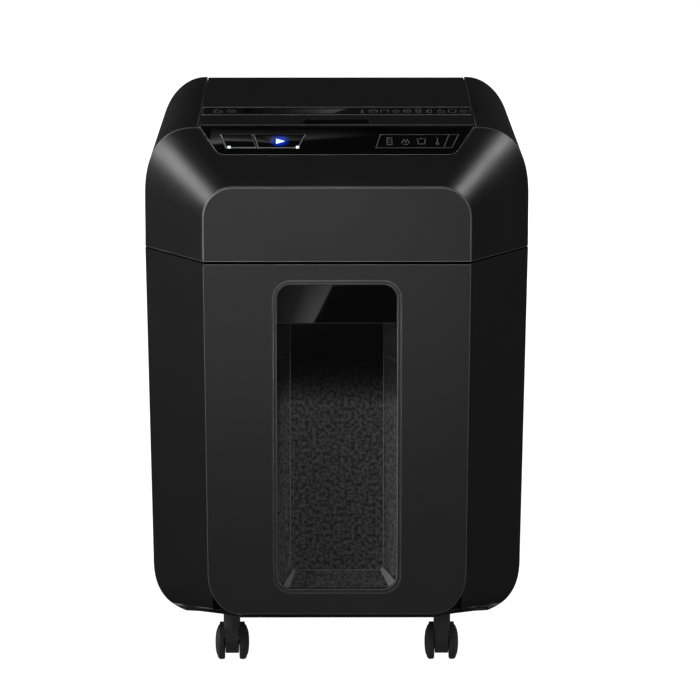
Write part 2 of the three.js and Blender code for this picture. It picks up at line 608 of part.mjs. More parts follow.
// ---------------------------------------------------------------- lid
function buildLid() {
  const [ridgeY, ridgeZ] = LID_RIDGE;
  const [stripY, stripZ] = LID_STRIP_END;
  const skin = 2.8;
  const frontZ = 510.8;
  const outer = [
    [LID_REAR_Y, 501.5], [LID_REAR_Y, REAR_TOP_Z], [ridgeY, ridgeZ],
    [stripY, stripZ], [LID_FRONT_Y, frontZ], [LID_FRONT_Y, 501],
  ];
  const inner = [
    [LID_REAR_Y - skin, 480], [LID_REAR_Y - skin, REAR_TOP_Z - skin], [ridgeY, ridgeZ - skin],
    [stripY, stripZ - skin], [LID_FRONT_Y + skin, frontZ - skin], [LID_FRONT_Y + skin, 480],
  ];
  const half = LID_HALF_WIDTH;
  const innerHalf = half - skin;
  const [hingeY, hingeZ] = HINGE;
  const ear = (x0, x1) => box([x0, x1], [hingeY - 5, hingeY + 5], [hingeZ - 4.2, hingeZ + 1]);
  const stripRise = (ridgeZ - stripZ) / (ridgeY - stripY);
  const stripSection = (endGap, low, high) => {
    const [y0, y1] = [ridgeY - endGap, stripY + endGap];
    const face = (y) => ridgeZ + stripRise * (y - ridgeY);
    return [[y0, face(y0) + high], [y0, face(y0) + low], [y1, face(y1) + low], [y1, face(y1) + high]];
  };
  const lid = cut(
    join(
      cut(prismYZ(outer, [-half, half]), prismYZ(inner, [-innerHalf, innerHalf])),
      box([-34, 34], [-102, -72], [505, 509.5]),
      ear(-half, -innerHalf),
      ear(innerHalf, half),
    ),
    box([-32, 32], [-100, -74], [506.2, 530]),
    prismYZ(stripSection(0.5, -1.4, 10), [-129.4, 129.4]),
    rodX(PIN_RADIUS + RUNNING_GAP, [-150, 150], HINGE),
  );
  add("lid", lid, "matte_black");
  add("lid_gloss_strip", prismYZ(stripSection(0.9, -1.1, 0), [-129, 129]), "gloss_black");

  const plateZ = [494, 496.5];
  const plate = join(
    box([-108, 108], [-90, 160], plateZ),
    box([-108, -105.5], [-90, 160], [plateZ[0], 499]),
    box([105.5, 108], [-90, 160], [plateZ[0], 499]),
  );
  add("pressure_plate", plate, "inner_grey");

  const span = 62;
  const [footZ, apexZ, leaf] = [plateZ[1] + SLIT, 510.4, 0.8];
  const arch = (lift) =>
    Array.from({ length: 13 }, (_, i) => {
      const x = -span + (2 * span * i) / 12;
      const height = (1 + Math.cos((Math.PI * x) / span)) / 2;
      return [x, footZ + lift + height * (apexZ - footZ - leaf)];
    });
  add("pressure_leaf_spring", prismXZ([...arch(0), ...arch(leaf).reverse()], [30, 50]), "steel");
}

// ---------------------------------------------------------------- gears
// An involute gear's outline as [y, z] points, with one tooth centred on the phase angle.
function gearOutline(teeth, phase) {
  const pitch = (GEAR_MODULE * teeth) / 2;
  const base = pitch * Math.cos(THREE.MathUtils.degToRad(20));
  const backlash = 0.45;
  const involute = (r) => {
    const a = Math.acos(Math.min(1, base / Math.max(r, base)));
    return Math.tan(a) - a;
  };
  const halfTooth = (r) => Math.PI / (2 * teeth) - backlash / (2 * pitch) + involute(pitch) - involute(r);
  const radii = [pitch - 1.25 * GEAR_MODULE, pitch - 0.1, pitch + 0.9 * GEAR_MODULE];
  const flank = radii.map((r) => [r, halfTooth(Math.max(r, base))]);
  return Array.from({ length: teeth }, (_, tooth) => {
    const centre = phase + (tooth * 2 * Math.PI) / teeth;
    const point = (r, a) => [r * Math.cos(a), r * Math.sin(a)];
    return [
      ...flank.map(([r, half]) => point(r, centre - half)),
      ...[...flank].reverse().map(([r, half]) => point(r, centre + half)),
    ];
  }).flat();
}

function gear(teeth, phase, [y, z], span, bore) {
  const blank = prismYZ(gearOutline(teeth, phase), span).translate([0, y, z]);
  return bore > 0 ? cut(blank, rodX(bore, [span[0] - 1, span[1] + 1], [y, z])) : blank;
}

const centreDistance = (a, b) => (GEAR_MODULE * (a + b)) / 2;
const along = ([y, z], distance, angle) => [y + distance * Math.cos(angle), z + distance * Math.sin(angle)];
// The phase that puts a gap of the driven gear opposite a tooth of the driving one.
const meshPhase = (phase, teeth, angle, drivenTeeth) =>
  angle + Math.PI - ((phase - angle) * teeth + Math.PI) / drivenTeeth;

const rearCutterAxis = [REAR_CUTTER_Y, CUTTER_Z];
const frontCutterAxis = along(rearCutterAxis, centreDistance(CUTTER_TEETH, CUTTER_TEETH), Math.PI);
const feedAngle = THREE.MathUtils.degToRad(69.8);
const feedAxis = along(rearCutterAxis, centreDistance(CUTTER_TEETH, FEED_TEETH), feedAngle);
const reductionAngle = 0;
const reductionAxis = along(rearCutterAxis, centreDistance(CUTTER_TEETH, REDUCTION_SMALL_TEETH), reductionAngle);
const pinionAngle = 0;
const motorAxis = along(reductionAxis, centreDistance(REDUCTION_BIG_TEETH, PINION_TEETH), pinionAngle);

// ---------------------------------------------------------------- cutter block
function discStack(axis, firstDisc, count) {
  const [end0, end1] = [-110, 110];
  const profile = [[0, end0], [SPACER_RADIUS, end0]];
  for (let i = 0; i < count; i++) {
    const x = firstDisc + DISC_PITCH * i;
    const [a, b] = [x - DISC_WIDTH / 2, x + DISC_WIDTH / 2];
    profile.push([SPACER_RADIUS, a], [DISC_RADIUS, a], [DISC_RADIUS, b], [SPACER_RADIUS, b]);
  }
  profile.push([SPACER_RADIUS, end1], [0, end1]);
  return cut(turnedX(profile, axis, 16), hexBar(8.1, [end0 - 1, end1 + 1], axis));
}

function hexBar(radius, span, [y, z]) {
  const corners = Array.from({ length: 6 }, (_, i) => {
    const angle = (i * Math.PI) / 3;
    return [y + radius * Math.cos(angle), z + radius * Math.sin(angle)];
  });
  return prismYZ(corners, span);
}

function comb(barY, fingerY, firstFinger, count) {
  const fingers = Array.from({ length: count }, (_, i) => {
    const x = firstFinger + DISC_PITCH * i;
    return box([x - 3, x + 3], fingerY, [421, 443]);
  });
  return join(box([-112, 112], barY, [418, 446]), ...fingers);
}

function buildCutterBlock() {
  const bores = [
    [frontCutterAxis, 6], [rearCutterAxis, 6], [feedAxis, 4.5],
  ];
  const sidePlate = (span, rearY, extra) =>
    cut(
      box(span, [-156, rearY], [SEAM_HIGH_Z + WALL + SLIT, 480.6]),
      ...[...bores, ...extra].map(([axis, r]) => rodX(r, [span[0] - 1, span[1] + 1], axis)),
    );
  const [near, far] = PLATE_X;
  add("left_side_plate", sidePlate([-far, -near], -56, []), "steel");
  add("right_side_plate", sidePlate([near, far], 8, [[reductionAxis, 4.5], [motorAxis, 4]]), "steel");

  const firstFront = -6 * DISC_PITCH;
  const firstRear = firstFront + DISC_PITCH / 2;
  const shaftSpan = [-126, GEAR_X[1] + 0.4];
  const stacks = [["front", frontCutterAxis, firstFront, 13], ["rear", rearCutterAxis, firstRear, 12]];
  for (const [name, axis, first, count] of stacks) {
    const shaft = join(rodX(5.5, shaftSpan, axis, 12), hexBar(7.6, [-114, 114], axis));
    add(`${name}_cutter_shaft`, shaft, "steel");
    add(`${name}_cutter_discs`, discStack(axis, first, count), "cutter_steel");
  }
  add("front_stripper_comb", comb([-153, -147.5], [-148, -137], firstRear, 12), "inner_grey");
  add("rear_stripper_comb", comb([-65.5, -60], [-76, -65], firstFront + DISC_PITCH, 11), "inner_grey");
}

// ---------------------------------------------------------------- motor and gears
function buildDrive() {
  const rearPhase = 0;
  const frontPhase = meshPhase(rearPhase, CUTTER_TEETH, Math.PI, CUTTER_TEETH);
  const feedPhase = meshPhase(rearPhase, CUTTER_TEETH, feedAngle, FEED_TEETH);
  const smallPhase = meshPhase(rearPhase, CUTTER_TEETH, reductionAngle, REDUCTION_SMALL_TEETH);
  const bigPhase = 0;
  const pinionPhase = meshPhase(bigPhase, REDUCTION_BIG_TEETH, pinionAngle, PINION_TEETH);
  const shaftBore = 5.9;
  add("rear_cutter_gear", gear(CUTTER_TEETH, rearPhase, rearCutterAxis, GEAR_X, shaftBore), "steel");
  add("front_cutter_gear", gear(CUTTER_TEETH, frontPhase, frontCutterAxis, GEAR_X, shaftBore), "steel");
  add("feed_gear", gear(FEED_TEETH, feedPhase, feedAxis, GEAR_X, 4.4), "nylon");

  const reduction = join(
    gear(REDUCTION_SMALL_TEETH, smallPhase, reductionAxis, [GEAR_X[0], BIG_GEAR_X[0] + 0.5], 0),
    gear(REDUCTION_BIG_TEETH, bigPhase, reductionAxis, BIG_GEAR_X, 0),
    rodX(4, [PLATE_X[0] - 1, BIG_GEAR_X[1] + 3], reductionAxis),
  );
  add("reduction_gear", reduction, "nylon");

  const motorEnd = PLATE_X[0] - 0.6;
  const motor = turnedX(
    [[0, 14], [9, 14], [9, 20], [27, 24], [27, motorEnd - 4], [22, motorEnd], [3.6, motorEnd], [3.6, motorEnd - 12], [0, motorEnd - 12]],
    motorAxis,
    24,
  );
  add("drive_motor", motor, "steel");
  const pinion = join(
    gear(PINION_TEETH, pinionPhase, motorAxis, [BIG_GEAR_X[0] + SLIT, BIG_GEAR_X[1]], 0),
    rodX(3, [motorEnd - 10, BIG_GEAR_X[1] + 1], motorAxis, 12),
  );
  add("motor_pinion", pinion, "steel");
}

function buildFeedRollers() {
  add("feed_shaft", rodX(4, [-125, GEAR_X[1] + 0.4], feedAxis), "steel");
  const roller = (x0, x1) => turnedX(ring(4.4, ROLLER_RADIUS, [x0, x1]), feedAxis, 24);
  add("feed_roller_left", roller(-72, -24), "rubber");
  add("feed_roller_right", roller(24, 72), "rubber");
}

buildCabinet();
buildCasters();
buildBin();
buildHeadCovers();
buildControlPanel();
buildRearFittings();
buildTray();
buildLid();
buildCutterBlock();
buildDrive();
buildFeedRollers();

export default shredder;
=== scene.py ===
"""The looks of an auto-feed paper shredder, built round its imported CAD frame.

Lengths are in millimetres until a mesh is made; +Z is up and the front faces -Y."""

import json
import math
import random

import bmesh
import bpy
from mathutils import Matrix, Vector, noise


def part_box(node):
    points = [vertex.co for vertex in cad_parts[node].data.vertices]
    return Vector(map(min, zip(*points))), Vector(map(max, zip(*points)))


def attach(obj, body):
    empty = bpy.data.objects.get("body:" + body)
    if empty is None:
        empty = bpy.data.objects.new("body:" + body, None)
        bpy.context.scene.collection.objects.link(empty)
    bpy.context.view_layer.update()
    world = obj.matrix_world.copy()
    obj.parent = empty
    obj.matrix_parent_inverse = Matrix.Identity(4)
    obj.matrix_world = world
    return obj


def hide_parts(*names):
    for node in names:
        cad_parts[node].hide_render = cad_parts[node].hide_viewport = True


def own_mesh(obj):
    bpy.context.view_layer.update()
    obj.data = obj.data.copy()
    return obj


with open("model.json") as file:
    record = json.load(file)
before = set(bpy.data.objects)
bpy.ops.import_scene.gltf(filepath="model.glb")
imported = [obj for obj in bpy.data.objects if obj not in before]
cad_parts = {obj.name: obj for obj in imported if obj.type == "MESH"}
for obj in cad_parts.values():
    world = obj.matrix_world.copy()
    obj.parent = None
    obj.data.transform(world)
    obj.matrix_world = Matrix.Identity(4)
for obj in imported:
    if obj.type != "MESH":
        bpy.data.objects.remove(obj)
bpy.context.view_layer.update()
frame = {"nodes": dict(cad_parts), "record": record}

MM = 0.001


# ---------------------------------------------------------------- places read from the frame
def box(node):
    """A CAD node's lowest and highest corners, in millimetres."""
    low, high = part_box(node)
    return low / MM, high / MM


def middle_of(node):
    low, high = box(node)
    return (low + high) / 2


def joint_place(name):
    joints = {j["name"]: j for j in frame["record"]["behaviour"]["joints"]}
    return Vector(joints[name]["pos_m"]) / MM


HALF_WIDTH = box("right_side_panel")[1].x
REAR_HALF = box("rear_cover")[1].x
FRONT_Y = box("head_front_panel")[0].y
BACK_Y = box("rear_cover")[1].y
PANEL = 3.0  # thickness of the front panels and rear covers
WALL = 3.0
FRONT_HALF = box("head_front_panel")[1].x + 0.2
FACET_END_Y = box("front_bezel")[0].y
SHOULDER_Y = box("left_shoulder")[0].y - 0.3
REAR_RIM_Y = box("left_shoulder")[1].y
FOOT_Z = box("left_side_panel")[0].z
FRONT_FOOT_Z = box("bin_front_panel")[0].z - 0.2
SEAM_LOW_Z = box("left_side_panel")[1].z
SEAM_HIGH_Z = box("left_shoulder")[0].z
REAR_TOP_Z = box("left_shoulder")[1].z
TOP_Z = REAR_TOP_Z - 1.0
FRONT_TOP_Z = box("head_front_panel")[1].z + 0.2
LID_LOW, LID_HIGH = box("lid")
STRIP_LOW, STRIP_HIGH = box("lid_gloss_strip")
STRIP_REAR = (STRIP_HIGH.y + 0.9, LID_HIGH.z)  # y and z where the strip's slope ends
STRIP_FORE = (STRIP_LOW.y - 0.9, STRIP_LOW.z + 1.0)
RING_HALF = box("window_trim_ring")[1].x - 2.5
RING_Z = (box("window_trim_ring")[0].z + 1.5, box("window_trim_ring")[1].z)
TRENCH_HALF = box("right_shoulder")[0].x
SEAM_GAP = 0.5  # visible gap between neighbouring covers


# ---------------------------------------------------------------- outlines
def lerp(a, b, t):
    return a + (b - a) * t


def mirrored(points):
    """A right-hand outline and its mirror image, as one closed outline."""
    return points + [(-x, y) for x, y in points[::-1]]


def arc(centre, radii, start, end, steps, power=2.0):
    """Points of a superellipse from one angle to another, in degrees from +X towards +Z."""
    points = []
    for i in range(steps + 1):
        angle = math.radians(lerp(start, end, i / steps))
        c, s = math.cos(angle), math.sin(angle)
        dx = radii[0] * math.copysign(abs(c) ** (2 / power), c)
        dz = radii[1] * math.copysign(abs(s) ** (2 / power), s)
        points.append((centre[0] + dx, centre[1] + dz))
    return points


def rounded_rectangle(x, z, radius, steps=10):
    left, right, low, high = x[0] + radius, x[1] - radius, z[0] + radius, z[1] - radius
    corners = ((right, high), (left, high), (left, low), (right, low))
    points = []
    for quarter, corner in enumerate(corners):
        points += arc(corner, (radius, radius), 90 * quarter, 90 * quarter + 90, steps)
    return points


HEAD_REAR = dict(half=REAR_HALF, top=REAR_TOP_Z, rx=46, rz=62, power=2)
HEAD_SECTION = dict(half=HALF_WIDTH, top=TOP_Z, rx=50, rz=68, power=2.5)
HEAD_FRONT = dict(half=FRONT_HALF, top=FRONT_TOP_Z, rx=29, rz=29, power=2)
SIDE_CORNER = dict(low=FOOT_Z, rx=33, rz=42, power=2.8)
CABINET_REAR = dict(half=REAR_HALF, foot=REAR_HALF - 4.9, **SIDE_CORNER)
CABINET_SECTION = dict(half=HALF_WIDTH, foot=HALF_WIDTH - 4.9, **SIDE_CORNER)
CABINET_FRONT = dict(half=FRONT_HALF, foot=FRONT_HALF - 2.7, low=FRONT_FOOT_Z, rx=29, rz=39, power=2)


def head_outline(shape, inset=0.0, bottom=None):
    """Over the head from the left seam to the right one."""
    low = SEAM_HIGH_Z if bottom is None else bottom
    centre = (shape["half"] - shape["rx"], shape["top"] - shape["rz"])
    radii = (shape["rx"] - inset, shape["rz"] - inset)
    right = arc(centre, radii, 0, 90, 28, shape["power"])
    half = shape["half"] - inset
    return [(-half, low)] + [(-x, z) for x, z in right] + right[::-1] + [(half, low)]


def cabinet_corner(shape, inset=0.0, top=None):
    """Down the right side of the cabinet, round its lower corner and in under it."""
    high = SEAM_LOW_Z if top is None else top
    centre = (shape["foot"] - shape["rx"], shape["low"] + shape["rz"])
    radii = (shape["rx"] - inset, shape["rz"] - inset)
    corner = arc(centre, radii, 0, -90, 24, shape["power"])
    return [(shape["half"] - inset, high)] + corner + [(60, shape["low"] + inset)]


def cabinet_outline(shape, inset=0.0, top=None):
    return mirrored(cabinet_corner(shape, inset, top)[:-1])


def offset_path(points, distance):
    """An open path of points moved sideways, to the left of the way it runs."""
    moved = []
    for i, (x, z) in enumerate(points):
        before = points[max(i - 1, 0)]
        after = points[min(i + 1, len(points) - 1)]
        sides = []
        for (ax, az), (bx, bz) in ((before, (x, z)), ((x, z), after)):
            length = math.hypot(bx - ax, bz - az)
            if length > 1e-6:
                sides.append(Vector((-(bz - az) / length, (bx - ax) / length)))
        normal = sum(sides, Vector((0, 0))).normalized()
        stretch = distance / max(normal.dot(sides[0]), 0.4)
        moved.append((x + normal.x * stretch, z + normal.y * stretch))
    return moved


# ---------------------------------------------------------------- meshes
def added(name, data):
    """A new object in the scene."""
    obj = bpy.data.objects.new(name, data)
    bpy.context.scene.collection.objects.link(obj)
    return obj


def raw(name, points, faces):
    mesh = bpy.data.meshes.new(name)
    mesh.from_pydata([Vector(p) * MM for p in points], [], faces)
    obj = added(name, mesh)
    work = bmesh.new()
    work.from_mesh(mesh)
    bmesh.ops.remove_doubles(work, verts=work.verts, dist=1e-6)
    bmesh.ops.recalc_face_normals(work, faces=work.faces)
    work.to_mesh(mesh)
    work.free()
    return obj


def prism(name, outline, span, axis="Y", matrix=None):
    """An outline pushed along an axis. Along Y the outline is x, z; along X it is y, z; and so on."""
    order = {
        "X": lambda a, b, t: (t, a, b),
        "Y": lambda a, b, t: (a, t, b),
        "Z": lambda a, b, t: (a, b, t),
    }[axis]
    count = len(outline)
    points = [order(a, b, t) for t in span for a, b in outline]
    if matrix is not None:
        points = [matrix @ Vector(p) for p in points]
    faces = [tuple(range(count)), tuple(range(2 * count - 1, count - 1, -1))]
    faces += [(i, (i + 1) % count, count + (i + 1) % count, count + i) for i in range(count)]
    return raw(name, points, faces)


def block(name, x, y, z):
    return prism(name, [(x[0], z[0]), (x[1], z[0]), (x[1], z[1]), (x[0], z[1])], y)


def skin(name, outer, inner):
    """A closed wall between two grids of points that have the same rows and columns."""
    rows, columns = len(outer), len(outer[0])
    points = [p for grid in (outer, inner) for row in grid for p in row]

    def at(layer, r, c):
        return (layer * rows + r) * columns + c

    faces = []
    for r in range(rows - 1):
        for c in range(columns - 1):
            for layer in (0, 1):
                near, far = [(at(layer, row, c), at(layer, row, c + 1)) for row in (r, r + 1)]
                faces.append(near + far[::-1])
        for c in (0, columns - 1):
            faces.append((at(0, r, c), at(0, r + 1, c), at(1, r + 1, c), at(1, r, c)))
    for c in range(columns - 1):
        for r in (0, rows - 1):
            faces.append((at(0, r, c), at(0, r, c + 1), at(1, r, c + 1), at(1, r, c)))
    return raw(name, points, faces)


def turned(name, profile, centre, axis="X", sides=64):
    """A closed profile of (radius, place along the axis) points turned about an axis through centre."""
    place = {
        "X": lambda r, a, c, s: (a, r * c, r * s),
        "Y": lambda r, a, c, s: (r * c, a, r * s),
        "Z": lambda r, a, c, s: (r * c, r * s, a),
    }[axis]
    points, faces = [], []
    count = len(profile)
    for k in range(sides):
        angle = 2 * math.pi * k / sides
        for r, a in profile:
            points.append(Vector(centre) + Vector(place(r, a, math.cos(angle), math.sin(angle))))
    for k in range(sides):
        for i in range(count):
            j = (i + 1) % count
            if profile[i][0] < 1e-6 and profile[j][0] < 1e-6:
                continue
            here, there = k * count, (k + 1) % sides * count
            faces.append((here + i, here + j, there + j, there + i))
    return raw(name, points, faces)


def rod(radius, start, end):
    """The profile of a plain cylinder, to be turned."""
    return [(0, start), (radius, start), (radius, end), (0, end)]


def apply_modifiers(obj):
    bpy.context.view_layer.update()
    graph = bpy.context.evaluated_depsgraph_get()
    obj.data = bpy.data.meshes.new_from_object(obj.evaluated_get(graph))
    obj.modifiers.clear()


def carve(obj, *cutters, operation="DIFFERENCE"):
    for cutter in cutters:
        modifier = obj.modifiers.new("carve", "BOOLEAN")
        modifier.object = cutter
        modifier.operation = operation
        modifier.solver = "EXACT"
    apply_modifiers(obj)
    for cutter in cutters:
        bpy.data.objects.remove(cutter)
    return obj


def join(obj, *others):
    return carve(obj, *others, operation="UNION")


def round_edges(obj, width, sharper_than=32.0, segments=3):
    """Rounds the edges that turn by more than an angle. The new faces take the piece's edge material, mostly
    a paler copy that paints a highlight along the edge.
    """
    work = bmesh.new()
    work.from_mesh(obj.data)
    bmesh.ops.remove_doubles(work, verts=work.verts, dist=2e-6)
    bmesh.ops.dissolve_degenerate(work, edges=work.edges, dist=1e-6)
    turn = math.radians(sharper_than)
    sharp = [e for e in work.edges if len(e.link_faces) == 2 and e.calc_face_angle() > turn]
    rounded = bmesh.ops.bevel(
        work, geom=sharp, offset=width * MM, offset_type="OFFSET", segments=segments, profile=0.5,
        affect="EDGES", clamp_overlap=True, loop_slide=True,
    )
    for face in rounded["faces"]:
        face.material_index = 1
    bmesh.ops.recalc_face_normals(work, faces=work.faces)
    work.to_mesh(obj.data)
    work.free()
    return obj


def smooth(obj):
    for polygon in obj.data.polygons:
        polygon.use_smooth = True
    modifier = obj.modifiers.new("weighted", "WEIGHTED_NORMAL")
    modifier.weight = 60
    return obj


def piece(obj, body, material, slot, *replaced):
    """Finishes a visible piece: its materials, its body and the nodes that it replaces."""
    mesh = obj.data
    finishes = [min(polygon.material_index, 1) for polygon in mesh.polygons]
    mesh.materials.clear()
    mesh.materials.append(material)
    # The second material is the edge one, mostly a paler copy that paints a highlight on the rounded edges.
    mesh.materials.append(EDGE.get(material.name, material))
    mesh.polygons.foreach_set("material_index", finishes)
    smooth(obj)
    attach(obj, body)
    if replaced:
        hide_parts(*replaced)
    return obj


def merged(name, objects):
    """Several meshes as one object."""
    mesh = bpy.data.meshes.new(name)
    work = bmesh.new()
    for obj in objects:
        work.from_mesh(obj.data)
        bpy.data.objects.remove(obj)
    work.to_mesh(mesh)
    work.free()
    return added(name, mesh)


# ---------------------------------------------------------------- materials
def shader_of(material):
    return material.node_tree.nodes["Principled BSDF"]


def span_node(material, source, start, end, low=0.0, high=1.0):
    """Turns a range of the source from start to end into one from low to high, and gives the node."""
    span = material.node_tree.nodes.new("ShaderNodeMapRange")
    for socket, value in zip(("From Min", "From Max", "To Min", "To Max"), (start, end, low, high)):
        span.inputs[socket].default_value = value
    material.node_tree.links.new(source, span.inputs["Value"])
    return span


def surface(
    name, color, roughness, specular=0.5, metallic=0.0, grain=None,
    vary=0.0, rough_vary=0.0, patch=18.0, soften=1.0,
):
    """A procedural finish. grain is (features per metre, depth in mm); vary and rough_vary are shares
    of the value, over patches per metre, and a lower soften makes the patches coarser and harder."""
    material = bpy.data.materials.new(name)
    material.use_nodes = True
    nodes, links = material.node_tree.nodes, material.node_tree.links
    shader = nodes["Principled BSDF"]
    shader.inputs["Base Color"].default_value = (*color, 1)
    shader.inputs["Roughness"].default_value = roughness
    shader.inputs["Metallic"].default_value = metallic
    shader.inputs["Specular IOR Level"].default_value = specular
    place = nodes.new("ShaderNodeTexCoord").outputs["Object"]
    if vary or rough_vary:
        cloud = nodes.new("ShaderNodeTexNoise")
        cloud.inputs["Scale"].default_value = patch
        cloud.inputs["Detail"].default_value = 6 * soften
        cloud.inputs["Roughness"].default_value = 0.62
        links.new(place, cloud.inputs["Vector"])
        if vary:
            ramp = nodes.new("ShaderNodeValToRGB")
            for element, way in zip(ramp.color_ramp.elements, (-1, 1)):
                element.position = 0.5 + way * 0.2 * soften ** 0.5
                element.color = (*[min(c * (1 + way * vary), 1) for c in color], 1)
            links.new(cloud.outputs["Fac"], ramp.inputs["Fac"])
            links.new(ramp.outputs["Color"], shader.inputs["Base Color"])
        if rough_vary:
            rough = (roughness * (1 - rough_vary), min(roughness * (1 + rough_vary), 1))
            span = span_node(material, cloud.outputs["Fac"], 0.3, 0.7, *rough)
            links.new(span.outputs["Result"], shader.inputs["Roughness"])
    if grain:
        pits = nodes.new("ShaderNodeTexNoise")
        pits.inputs["Scale"].default_value = grain[0]
        pits.inputs["Detail"].default_value = 3
        links.new(place, pits.inputs["Vector"])
        bump = nodes.new("ShaderNodeBump")
        bump.inputs["Strength"].default_value = 1.0
        bump.inputs["Distance"].default_value = grain[1] * MM
        links.new(pits.outputs["Fac"], bump.inputs["Height"])
        links.new(bump.outputs["Normal"], shader.inputs["Normal"])
    return material


def grey(level):
    return (level, level, level)


def gloss(name):
    return surface(name, grey(0.0016), 0.02, specular=0.12, rough_vary=0.2, patch=40)


def painted_highlight(name, level, roughness, specular):
    """A pale finish for rounded edges and ribs: a painted highlight."""
    return surface(name, grey(level), roughness, specular=specular, vary=0.1, patch=60)


def pressed_paper(name, level, vary):
    """Chips of paper pressed against the window."""
    return surface(name, grey(level), 0.9, 0.1, grain=(500, 0.3), vary=vary, patch=300, soften=0.3)


CHARCOAL = surface("charcoal_satin", grey(0.030), 0.5, 0.12, grain=(900, 0.006), vary=0.04, rough_vary=0.08)
BLACK = surface("black_plastic", grey(0.0062), 0.42, 0.26, grain=(800, 0.008), vary=0.06, rough_vary=0.08)
LID_BLACK = surface("lid_plastic", grey(0.0110), 0.5, 0.08, grain=(800, 0.008), vary=0.06, rough_vary=0.08)
GLOSS = gloss("gloss_black")
GLOSS_HANDLE = gloss("gloss_handle")
GLOSS_LIT = gloss("gloss_lit")
PRINT = surface("print_grey", grey(0.11), 0.6, 0.2, vary=0.1, patch=200)
PRINT_DIM = surface("print_dim", grey(0.16), 0.6, 0.2, vary=0.1, patch=200)
INNER = surface("inner_plastic", grey(0.035), 0.55, 0.3, grain=(700, 0.02), vary=0.1, rough_vary=0.1)
TUB = surface("tub_plastic", grey(0.02), 0.5, 0.25, grain=(700, 0.02), vary=0.1, rough_vary=0.1)
CASTER = surface("caster_nylon", grey(0.036), 0.38, 0.35, grain=(1200, 0.01), vary=0.12, rough_vary=0.15)
TREAD = surface("caster_tread", grey(0.034), 0.5, 0.3, grain=(900, 0.02), vary=0.15, rough_vary=0.1)
RUBBER = surface("feed_rubber", grey(0.02), 0.8, 0.3, grain=(1500, 0.05), vary=0.15)
STEEL = surface(
    "zinc_steel", (0.55, 0.56, 0.58), 0.34, metallic=1.0, grain=(600, 0.01),
    vary=0.08, rough_vary=0.25, patch=60,
)
CUTTER = surface(
    "cutter_steel", (0.30, 0.31, 0.33), 0.3, metallic=1.0, grain=(500, 0.015),
    vary=0.15, rough_vary=0.3, patch=90,
)
NYLON = surface("nylon", (0.72, 0.70, 0.62), 0.45, grain=(900, 0.01), vary=0.04, rough_vary=0.1)
BOARD = surface("circuit_board", (0.01, 0.10, 0.04), 0.4, grain=(400, 0.03), vary=0.25, patch=300)
PAPER = surface("shredded_paper", grey(0.5), 0.85, 0.2, grain=(2500, 0.03), vary=0.45, patch=700)
# The pressed paper's sloping sides are paler than its middle: painted light on them.
PAPER_FACE = pressed_paper("paper_face", 0.48, 0.55)
PAPER_LIT_SIDE = pressed_paper("paper_lit_side", 0.58, 0.42)
# The heap's core is darker than the chips on it: painted shade between and under them.
PAPER_SHADE = surface("paper_core", grey(0.22), 0.9, 0.1, grain=(400, 0.5), vary=0.5, patch=350)

# Rounded edges and ribs are painted paler than the faces between them: painted highlights along the edges.
# The pressed paper's sloping sides get a paler copy, painted light.
RIB_HIGHLIGHT = painted_highlight("rib_highlight", 0.24, 0.3, 0.4)
GLOSS_EDGE_HIGHLIGHT = painted_highlight("gloss_edge_highlight", 0.15, 0.25, 0.4)
EDGE = {
    CHARCOAL.name: painted_highlight("charcoal_edge_highlight", 0.135, 0.35, 0.3),
    BLACK.name: painted_highlight("black_edge_highlight", 0.085, 0.32, 0.35),
    LID_BLACK.name: painted_highlight("lid_edge_highlight", 0.17, 0.32, 0.35),
    GLOSS.name: GLOSS_EDGE_HIGHLIGHT, GLOSS_LIT.name: GLOSS_EDGE_HIGHLIGHT,
    GLOSS_HANDLE.name: CHARCOAL, PAPER_FACE.name: PAPER_LIT_SIDE,
}


def set_stops(ramp, stops):
    """Gives a colour ramp grey stops, as (position, level) pairs."""
    levels = ramp.color_ramp.elements
    while len(levels) < len(stops):
        levels.new(0.5)
    for level, (place, light) in zip(levels, stops):
        level.position = place
        level.color = (light, light, light, 1)


def smoked(name, cover, tint, specular=0.2):
    """Dark see-through plastic: cover is the share of what is behind it that each face hides."""
    material = surface(name, grey(tint), 0.08, specular, rough_vary=0.3, patch=40)
    shader_of(material).inputs["Alpha"].default_value = cover
    return material


def by_height(material, socket, stops):
    """Makes a socket follow the height above the floor, through (height in metres, level) stops."""
    nodes, links = material.node_tree.nodes, material.node_tree.links
    place = nodes.new("ShaderNodeSeparateXYZ")
    links.new(nodes.new("ShaderNodeTexCoord").outputs["Object"], place.inputs["Vector"])
    foot, top = stops[0][0], stops[-1][0]
    ramp = nodes.new("ShaderNodeValToRGB")
    links.new(span_node(material, place.outputs["Z"], foot, top).outputs["Result"], ramp.inputs["Fac"])
    set_stops(ramp, [((height - foot) / (top - foot), level) for height, level in stops])
    links.new(ramp.outputs["Color"], shader_of(material).inputs[socket])
    return place


PANE = smoked("smoked_window", 0.5, 0.0035, 0.04)
CREASE_X = 44.1  # where the pane's sloping sides meet its flat middle


def paint_pane_shading():
    """The pane's smoke is a little clearer at its foot, evening out the light that falls off downwards, and
    thickens to nearly black above the heap: painted light, and painted shade for the bin's empty top.
    """
    nodes, links = PANE.node_tree.nodes, PANE.node_tree.links
    place = by_height(PANE, "Alpha", ((0.08, 0.42), (0.257, 0.47), (0.308, 0.93)))
    # Its sloping sides are a little paler: a painted sheen.
    reach = nodes.new("ShaderNodeMath")
    reach.operation = "ABSOLUTE"
    links.new(place.outputs["X"], reach.inputs[0])
    start, end = (CREASE_X - 0.5) * MM, (CREASE_X + 0.5) * MM
    pale = span_node(PANE, reach.outputs["Value"], start, end, 0.0035, 0.014)
    links.new(pale.outputs["Result"], shader_of(PANE).inputs["Base Color"])


paint_pane_shading()
